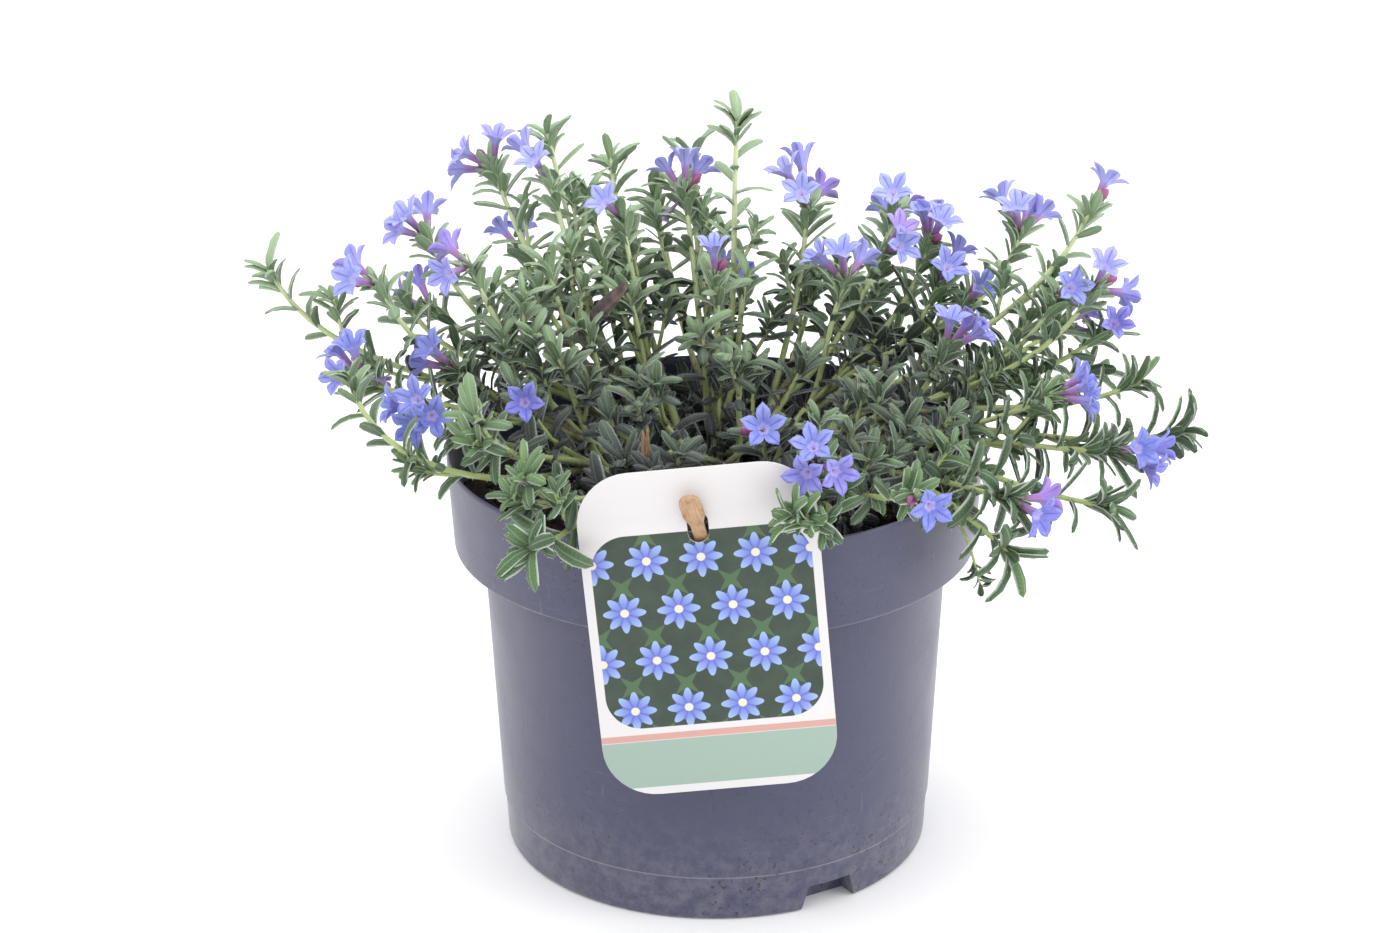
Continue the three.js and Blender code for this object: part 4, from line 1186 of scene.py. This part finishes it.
def make_bloom(number, each, controls):
    """Makes the cluster of flowers, buds and their sepals at the end of a shoot."""
    name = f"bloom_{number:02}"
    heading = (controls[-1] - bezier(controls, 0.97)).normalized()
    seat = controls[-1] + heading * SEAT_RISE
    flowers, buds, sepals = Spots(), Spots(), Spots()
    blooms = [(spot, flowers, FLOWER_LENGTH) for spot in each["flowers"]]
    blooms += [(spot, buds, BUD_LENGTH) for spot in each["buds"]]
    for (turn, rise, *stalk), spots, usual in blooms:
        direction, roll = facing(turn, rise), draws.uniform(0, 2 * math.pi)
        stretch, girth = (stalk[0] if stalk else usual) / usual, draws.uniform(*FLOWER_GIRTHS)
        tint = max(0.0, draws.uniform(*FLOWER_TINTS))
        if spots is flowers and len(flowers.points) == VIOLET_FLOWER.get(number):
            tint = VIOLET_TINT
        kind = draws.randrange(len(FLOWER_SHAPES)) if spots is flowers else 0
        spots.put(seat, along_axis(direction, roll), (girth, girth, stretch), kind, draws.random(),
                  tint=tint)
        put_sepals(sepals, seat, direction, roll)
    for turn, rise, size, age, tint in PAST_FLOWERS.get(number, ()):
        girth = size * PAST_FLOWER_GIRTH
        flowers.put(seat, along_axis(facing(turn, rise), turn), (girth, girth, size), PAST_FLOWER_KIND,
                    age=age, tint=tint)
    parts = [flowers.set_out(name + "_flowers", flower_store, PETAL),
             sepals.set_out(name + "_sepals", sepal_store, LEAF)]
    if buds.points:
        parts.append(buds.set_out(name + "_buds", bud_store, BUD))
    kept(joined(name + "_flowers", parts), name)


flowering = [(each, controls) for (_, _, _, shoots), curves in zip(SPRAYS, spray_curves)
             for each, controls in zip(shoots, curves) if each["flowers"]]
for bloom_number, (each, controls) in enumerate(flowering, 1):
    make_bloom(bloom_number, each, controls)


# Ways of making the pot, soil, card, peg and stick
def closed(mesh):
    """Merges doubled points and turns every face outwards."""
    shell = bmesh.new()
    shell.from_mesh(mesh)
    bmesh.ops.remove_doubles(shell, verts=shell.verts, dist=0.001 * MM)
    bmesh.ops.recalc_face_normals(shell, faces=shell.faces)
    shell.to_mesh(mesh)
    shell.free()
    return mesh


def filleted(corners, steps=5):
    """A profile from corners of (radius, height, size of the fillet)."""
    points = []
    for k, (x, z, size) in enumerate(corners):
        corner = Vector((x, z))
        if not size:
            points.append(corner)
            continue
        before = Vector(corners[k - 1][:2]) - corner
        after = Vector(corners[k + 1][:2]) - corner
        arms = [arm.normalized() * min(size, 0.45 * arm.length) for arm in (before, after)]
        bend = [corner + arms[0], corner, corner + arms[1]]
        points += [bezier(bend, step / steps) for step in range(steps + 1)]
    return points


def turned(name, profile, sides, relief=lambda point: 0):
    """A closed body of a profile that starts and ends on its axis. `relief` lifts a point by its place."""
    points, rows = [], []
    for radius, height in profile:
        count = sides if radius > 0 else 1
        rows.append(range(len(points), len(points) + count))
        for k in range(count):
            point = facing(360 * k / sides) * radius + UP * height
            points.append(point + UP * relief(point))
    faces = []
    for low, high in zip(rows, rows[1:]):
        for k in range(sides):
            follow = (k + 1) % sides
            ring = [low[k % len(low)], low[follow % len(low)], high[follow % len(high)], high[k % len(high)]]
            faces.append(tuple(dict.fromkeys(ring)))
    return closed(new_mesh(name, points, faces))


def notch_block(azimuth, wider, low, reach):
    """The block that a notch of the pot's foot takes out, or that makes its pocket where it is `wider`. It
    stands from the height `low` and reaches out past the pot's foot by `reach`."""
    half, top, high = NOTCH_WIDTH / 2 + wider, NOTCH_TOP_WIDTH / 2 + wider, NOTCH_HEIGHT + wider
    corners = [(-half, low), (half, low), (top, high), (-top, high)]
    out, side = facing(azimuth), facing(azimuth + 90)
    ways = (BASE_RADIUS - NOTCH_DEPTH - wider, BASE_RADIUS + reach)
    points = [out * way + side * across + UP * height for way in ways for across, height in corners]
    faces = [(3, 2, 1, 0), (4, 5, 6, 7), (0, 1, 5, 4), (1, 2, 6, 5), (2, 3, 7, 6), (3, 0, 4, 7)]
    return closed(new_mesh("notch", points, faces))


def combined(name, base, *changes):
    """A mesh with others added to it or cut out of it, in turn."""
    piece = linked(name, base)
    tools = [(operation, linked("tool", mesh)) for operation, mesh in changes]
    for operation, tool in tools:
        change = piece.modifiers.new("change", "BOOLEAN")
        change.operation = operation
        change.solver = "EXACT"
        change.object = tool
    mesh = evaluated_mesh(piece, name)
    for _, tool in tools:
        bpy.data.objects.remove(tool)
    return mesh


def finished(name, mesh, material, sharp_angle=SHARP_ANGLE):
    """A piece of one finish, smooth but for the edges that are sharper than an angle in degrees."""
    mesh.materials.clear()
    mesh.materials.append(material)
    smooth_shaded(mesh).set_sharp_from_angle(angle=math.radians(sharp_angle))
    return linked(name, mesh)


def arc(centre, radius, start, end, steps=10):
    turns = [math.radians(start + (end - start) * k / steps) for k in range(steps + 1)]
    return [(centre[0] + radius * math.cos(turn), centre[1] + radius * math.sin(turn)) for turn in turns]


def cut_out(name, loops, thickness, bevel, placing):
    """A plate of an outline and its holes with bevelled edges. `local` keeps its coordinates before it is
    placed, in millimetres."""
    outline = bpy.data.curves.new(name, "CURVE")
    outline.dimensions = "2D"
    outline.fill_mode = "BOTH"
    outline.extrude = (thickness / 2 - bevel) * MM
    outline.bevel_depth = bevel * MM
    outline.bevel_resolution = 1
    for loop in loops:
        spline = outline.splines.new("POLY")
        spline.points.add(len(loop) - 1)
        for point, (x, y) in zip(spline.points, loop):
            point.co = (x * MM, y * MM, 0, 1)
        spline.use_cyclic_u = True
    mesh = closed(evaluated_mesh(linked(name, outline), name))
    local = mesh.attributes.new("local", "FLOAT_VECTOR", "POINT")
    local.data.foreach_set("vector", [number / MM for vertex in mesh.vertices for number in vertex.co])
    mesh.transform(placing)
    return mesh


def pot_material():
    """Slate-coloured plastic, dulled by scuffs, dust and splashes of peat near its foot."""
    made = new_material("scuffed_plastic")
    place = place_in(made)
    height = place.axes()[2] / MM
    cloud, grain = place.noise(22, 4), place.noise(700, 2)
    rub = place.stretched(60, 60, 900).noise(1.0, 5, 0.7).smooth(0.57, 0.72)
    scratch = place.stretched(500, 500, 40).noise(1.0, 4, 0.6).smooth(0.64, 0.7)
    worn = cloud.smooth(0.45, 0.7)
    colour = cloud.mix((0.036, 0.036, 0.079), (0.046, 0.047, 0.097))
    colour = (rub * worn * 0.28).most(scratch * worn * 0.3).mix(colour, (0.22, 0.22, 0.28))
    foot = height.smooth(48, 4)
    dust = place.noise(190, 6, 0.75).smooth(0.3, 0.8) * (foot * 0.6 + 0.06)
    colour = dust.mix(colour, (0.17, 0.165, 0.2))
    ledge = abs(height - COLLAR_FOOT).smooth(1.3, 0.2) * place.noise(160).smooth(0.4, 0.65)
    line = abs(height - FOOT_LINE_HEIGHT).smooth(0.55, 0.1)
    colour = (ledge * 0.45).most(line * 0.4).mix(colour, (0.28, 0.27, 0.3))
    splash = place.noise(560, 1).smooth(0.65, 0.675) * cloud.smooth(0.42, 0.55) * (foot * 0.5 + 0.4)
    colour = splash.mix(colour, (0.025, 0.018, 0.02))
    return fed(made, bump=(grain * 0.25 + rub * 0.15 - scratch * 0.2 + splash * 0.6, 0.12),
               base_color=colour, roughness=(worn * 0.12 + 0.42).most(dust),
               sheen_weight=0.3, sheen_roughness=0.4)


def peat_material():
    made = new_material("peat")
    place = place_in(made)
    clump, fibre = place.noise(160, 6, 0.65), place.stretched(900, 250, 600).noise(1.0, 3)
    colour = clump.smooth(0.3, 0.75).mix((0.008, 0.006, 0.006), (0.05, 0.033, 0.024))
    colour = (fibre.smooth(0.66, 0.74) * 0.6).mix(colour, (0.16, 0.1, 0.06))
    return fed(made, bump=(clump + fibre * 0.4, 1.2), base_color=colour, roughness=0.95)


def wood_material(name, pale, dark, grime):
    """Pale wood with a grain along its length (the y of `local`)."""
    made = new_material(name)
    local = attribute(made, "local", "Vector")
    grain = local.stretched(2.6, 0.16, 2.6).noise(1.0, 4, 0.6)
    fine = local.stretched(9, 0.5, 9).noise(1.0, 2)
    colour = grain.smooth(0.3, 0.7).mix(pale, dark)
    colour = (local.noise(0.35, 4).smooth(0.5, 0.7) * 0.5).mix(colour, grime)
    return fed(made, bump=(grain * 0.6 + fine * 0.4, 0.3), base_color=colour, roughness=0.75)


def card_material():
    """A printed card: a white head over a dark green field of stylised blue rosettes and leaf lozenges,
    closed below by a salmon line and a pale green band. Its design is made up."""
    made = new_material("printed_card")
    local = attribute(made, "local", "Vector")
    u, v, face = local.axes()

    def box(middle, half_width, half_height, corner=0.2):
        """1 inside a rounded rectangle, whose middle is at a height on the card."""
        dx = (abs(u) - (half_width - corner)).most(0)
        dy = (abs(v - middle) - (half_height - corner)).most(0)
        return ((dx * dx + dy * dy) ** 0.5).smooth(corner + 0.12, corner - 0.12)

    def cell(shift):
        """Coordinates in a cell of a grid whose rows are offset by half a cell."""
        up = v / MOTIF_PITCH + shift
        x = ((u / MOTIF_PITCH + (up.floor() % 2) * 0.5 + shift) % 1 - 0.5) * MOTIF_PITCH
        return x, (up % 1 - 0.5) * MOTIF_PITCH

    x, y = cell(0)
    away = (x * x + y * y) ** 0.5
    petals = (y.angle_over(x) * 8).cosine()
    blue = (away / 7).least(1).mix((0.075, 0.075, 0.47), (0.27, 0.39, 0.65))
    blue = (petals.smooth(-0.2, -0.95) * 0.7).mix(blue, (0.075, 0.1, 0.41))
    blue = away.smooth(1.6, 1.3).mix(blue, (0.64, 0.6, 0.45))
    rosette = (petals * 1.3 + 5.9 - away).smooth(-0.12, 0.12)
    x, y = cell(0.5)
    lozenge = 0
    for slant in (1, -1):
        long_way, short_way = (x + y * slant) * 0.707, (x - y * slant) * 0.707
        lozenge = (1 - abs(long_way) / 6 - abs(short_way) / 1.7).smooth(0, 0.08).most(lozenge)
    field = local.stretched(1, 1, 0).noise(0.12).mix((0.009, 0.019, 0.015), (0.038, 0.068, 0.038))
    field = rosette.mix(lozenge.mix(field, (0.053, 0.112, 0.045)), blue)
    white, green, salmon = (0.6, 0.58, 0.585), (0.265, 0.355, 0.305), (0.51, 0.28, 0.24)
    colour = box(1.5, CARD_WIDTH / 2 - 3, 35, 12).mix(white, field)
    colour = box(-47, CARD_WIDTH / 2, 8.6).mix(colour, green)
    colour = box(-37, CARD_WIDTH / 2, 1.2).mix(colour, salmon)
    colour = face.smooth(0.3, 0.38).mix(white, colour)
    colour = (local.noise(0.9, 4).smooth(0.68, 0.75) * 0.25).mix(colour, (0.25, 0.22, 0.2))
    return fed(made, base_color=colour, roughness=0.38)


def soil_tree():
    """Strews the soil with crumbs."""
    tree, given = geometry_tree("crumbled_soil", {
        "Crumb Density": "Float", "Smallest": "Float", "Largest": "Float", "Seed": "Int", "Crumb": "Object",
        "Finish": "Material"})
    upward = add(tree, "GeometryNodeInputNormal").axes()[2]
    level = add(tree, "GeometryNodeInputPosition").axes()[2]
    spots = add(tree, "GeometryNodeDistributePointsOnFaces", None, {
        "Mesh": given["Geometry"], "Density": given["Crumb Density"], "Seed": given["Seed"],
        "Selection": (upward > CRUMBS_FACE_UP) * (level > (SOIL_LEVEL - CRUMBS_BELOW_LEVEL) * MM)})
    turn = add(tree, "FunctionNodeRandomValue", {"data_type": "FLOAT_VECTOR"}, {
        0: (0, 0, 0), 1: (6.3, 6.3, 6.3), "Seed": given["Seed"] + 1})
    scale = (given["Seed"] + 2).drawn(given["Smallest"], given["Largest"])
    crumbs = spots.set_with(shape_of(given["Crumb"]), turn, scale)
    return ended(tree, joined_geometry(tree, given["Geometry"], crumbs.realized()).coated(given["Finish"]))


# Pot and soil
def wall_radius(height):
    """The radius of the pot's body at a height."""
    return BASE_RADIUS + (BODY_TOP_RADIUS - BASE_RADIUS) * height / COLLAR_FOOT


def make_pot():
    line = wall_radius(FOOT_LINE_HEIGHT)
    shell = turned("pot_shell", filleted([
        (0, 0, 0), (BASE_RADIUS, 0, 2), (line, FOOT_LINE_HEIGHT, 0.2),
        (line + FOOT_LINE_STEP, FOOT_LINE_HEIGHT + FOOT_LINE_STEP, 0.2),
        (BODY_TOP_RADIUS, COLLAR_FOOT + 0.2, 1), (COLLAR_FOOT_RADIUS, COLLAR_FOOT, 1.6),
        (RIM_RADIUS, POT_HEIGHT - 1, 0.8), (RIM_RADIUS - LIP, POT_HEIGHT, 0.6),
        (RIM_RADIUS - POT_WALL, POT_HEIGHT - 3, 0.8),
        (COLLAR_FOOT_RADIUS - POT_WALL, COLLAR_FOOT + POT_WALL, 1.2),
        (BODY_TOP_RADIUS - POT_WALL, COLLAR_FOOT + POT_WALL, 1), (BASE_RADIUS - POT_WALL, POT_FLOOR, 2),
        (0, POT_FLOOR, 0)]), POT_SIDES)
    changes = [("UNION", notch_block(azimuth, POT_WALL, *POT_POCKET)) for azimuth in NOTCH_AZIMUTHS]
    changes += [("DIFFERENCE", notch_block(azimuth, 0, *NOTCH_CUT)) for azimuth in NOTCH_AZIMUTHS]
    for k in range(DRAINS):
        middle = facing(NOTCH_AZIMUTHS[0] + (k + 0.5) * 360 / DRAINS) * DRAIN_CIRCLE
        hole = turned("drain", [(0, -DRAIN_CUT), (DRAIN_RADIUS, -DRAIN_CUT), (DRAIN_RADIUS, DRAIN_CUT),
                                (0, DRAIN_CUT)], DRAIN_SIDES)
        hole.transform(Matrix.Translation(middle * MM))
        changes.append(("DIFFERENCE", hole))
    kept(finished("pot_body", combined("pot_body", shell, *changes), pot_material()), "pot")


def soil_relief(point):
    """Lumps and hollows of the peat's top; its sides and foot stay plain."""
    if point.z < SOIL_LEVEL - 0.5:
        return 0
    fall = min(1, (SOIL_BRIM - math.hypot(point.x, point.y)) / LUMPS_FADE)
    return fall * sum(height * noise.noise(point / size) for height, size in LUMPS)


def crumb_shape():
    crumb = bmesh.new()
    bmesh.ops.create_icosphere(crumb, subdivisions=1, radius=MM)
    for corner in crumb.verts:
        corner.co *= draws.uniform(*CRUMB_DENTS)
    mesh = bpy.data.meshes.new("crumb")
    crumb.to_mesh(mesh)
    crumb.free()
    return bpy.data.objects.new("crumb", mesh)


def make_soil():
    shares = [1 - k / SOIL_RINGS for k in range(SOIL_RINGS + 1)]
    shelf, floor = COLLAR_FOOT + POT_WALL, POT_FLOOR + GAP
    base, top = BASE_RADIUS - POT_WALL - GAP, BODY_TOP_RADIUS - POT_WALL - GAP
    body = turned("soil_body", [
        (0, floor), (base - 2, floor), (base, floor + 2), (top, shelf), (top, shelf + 1),
        (SOIL_BRIM - 0.8, shelf + 1), (SOIL_BRIM, SOIL_LEVEL - 1),
        *((SOIL_BRIM * share, SOIL_LEVEL + SOIL_DOME * (1 - share ** 2)) for share in shares)],
        SOIL_SIDES, soil_relief)
    body = combined("soil_body", body, *[
        ("DIFFERENCE", notch_block(azimuth, POT_WALL + GAP, *SOIL_POCKET)) for azimuth in NOTCH_AZIMUTHS])
    soil = grown("soil_bed", body, soil_tree(), {
        "Crumb Density": CRUMBS_TO_SQUARE_METRE, "Smallest": CRUMB_SIZES[0], "Largest": CRUMB_SIZES[1],
        "Seed": SEED + 7, "Crumb": crumb_shape(), "Finish": peat_material()})
    kept(soil, "soil")


# Card, peg and stick. The card hangs on the peg, which slants down through the card's hole into the soil.
def make_card():
    level = CARD_HEIGHT / 2 - HOLE_BELOW_TOP
    across, tall = CARD_WIDTH / 2 - CARD_CORNER, CARD_HEIGHT / 2 - CARD_CORNER
    edge = []
    for k, middle in enumerate([(across, tall), (-across, tall), (-across, -tall), (across, -tall)]):
        edge += arc(middle, CARD_CORNER - CARD_BEVEL, 90 * k, 90 * (k + 1))
    half, straight = HOLE_WIDTH / 2 + CARD_BEVEL, (HOLE_HEIGHT - HOLE_WIDTH) / 2
    hole = arc((0, level + straight), half, 0, 180) + arc((0, level - straight), half, 180, 360)
    upright = (Matrix.Translation(HOLE_MIDDLE * MM) @ Matrix.Rotation(-math.radians(CARD_TURN), 4, "Y")
               @ Matrix.Rotation(math.pi / 2, 4, "X") @ Matrix.Translation(Vector((0, -level * MM, 0))))
    card = cut_out("card", [edge, hole], CARD_THICKNESS, CARD_BEVEL, upright)
    kept(finished("card", card, card_material()), "label")


def make_peg():
    heading = Vector(PEG_DIRECTION).normalized()
    sideways = (Vector((1, 0, 0)) - heading * heading.x).normalized()
    slanting = Matrix((sideways, heading, sideways.cross(heading))).transposed().to_4x4()
    slanting.translation = HOLE_MIDDLE * MM
    neck, head = PEG_NECK / 2 - PEG_BEVEL, PEG_HEAD / 2 - PEG_BEVEL
    outline = [(-neck, PEG_POINT - PEG_LENGTH), (0, -PEG_LENGTH), (neck, PEG_POINT - PEG_LENGTH),
               (neck, PEG_SHOULDER - PEG_SHOULDER_LENGTH), (head, PEG_SHOULDER)]
    outline += arc((0, PEG_HEAD_LENGTH - PEG_HEAD / 2), head, 0, 180)
    outline += [(-head, PEG_SHOULDER), (-neck, PEG_SHOULDER - PEG_SHOULDER_LENGTH)]
    peg = cut_out("peg_wood", [outline], PEG_THICKNESS, PEG_BEVEL, slanting)
    wood = wood_material("peg_wood", (0.52, 0.34, 0.2), (0.36, 0.21, 0.11), (0.2, 0.12, 0.08))
    kept(finished("peg_wood", peg, wood, WOOD_SHARP_ANGLE), "peg")


def make_stick():
    """A stick whose top is split into two prongs, which are cut out apart."""
    standing = Matrix.Translation(Vector(STICK_TOP) * MM) @ Matrix.Rotation(math.pi / 2, 4, "X")
    wood = wood_material("split_wood", (0.46, 0.3, 0.17), (0.3, 0.18, 0.1), (0.12, 0.08, 0.05))
    prongs = []
    for side in (-1, 1):
        out, split, top = side * STICK_WIDTH / 2, side * SPLIT_WIDTH / 2, draws.uniform(*PRONG_TOPS)
        outline = [(out, -STICK_HEIGHT), (out, -SPLIT_LENGTH * 0.4), (out * 1.05, -4), (out * 0.7, top),
                   (split * 1.6, top - 1.2), (split * 1.4, -6), (side * 0.02, -SPLIT_LENGTH),
                   (side * 0.02, -STICK_HEIGHT)][::side]
        prong = cut_out("prong", [outline], STICK_THICKNESS, STICK_BEVEL, standing)
        prongs.append(finished("prong", prong, wood, WOOD_SHARP_ANGLE))
    kept(joined("split_wood", prongs), "split_stick")


# Camera, floor and light
def aimed(name, data, place, back, roll=0):
    """Puts a camera or a lamp at a place in metres, with its back towards a direction."""
    piece = linked(name, data)
    piece.location = place
    piece.rotation_mode = "QUATERNION"
    piece.rotation_quaternion = along_axis(back, math.radians(roll))
    return piece


def set_camera():
    camera = bpy.data.cameras.new("camera")
    camera.lens = FOCAL_PIXELS * camera.sensor_width / PHOTO_WIDTH
    camera.clip_end = CAMERA_RANGE * MM
    back = facing(-90, CAMERA_ELEVATION)
    place = Vector(CAMERA_TARGET) * MM + back * CAMERA_DISTANCE * MM
    bpy.context.scene.camera = aimed("camera", camera, place, back, CAMERA_ROLL)


def set_floor():
    corners = [(x * FLOOR_REACH, y * FLOOR_REACH, 0) for x, y in ((-1, -1), (1, -1), (1, 1), (-1, 1))]
    mesh = new_mesh("floor", corners, [(0, 1, 2, 3)])
    mesh.materials.append(fed(new_material("floor"), base_color=(0.93, 0.93, 0.94, 1), roughness=0.8))
    linked("floor", mesh)


def set_studio():
    scene = bpy.context.scene
    scene.world = bpy.data.worlds.new("studio")
    scene.world.use_nodes = True
    sky = scene.world.node_tree.nodes["Background"].inputs
    sky["Color"].default_value = (1, 1, 1, 1)
    sky["Strength"].default_value = WORLD_STRENGTH
    for name, (place, size, power) in LAMPS.items():
        light = bpy.data.lights.new(name, "AREA")
        light.shape = "RECTANGLE"
        light.size, light.size_y = size
        light.energy = power
        aimed(name, light, Vector(place), Vector(place) - Vector(LAMP_AIM))
    scene.view_settings.view_transform = "Standard"
    scene.view_settings.look = "None"


make_pot()
make_soil()
make_card()
make_peg()
make_stick()
set_camera()
set_floor()
set_studio()
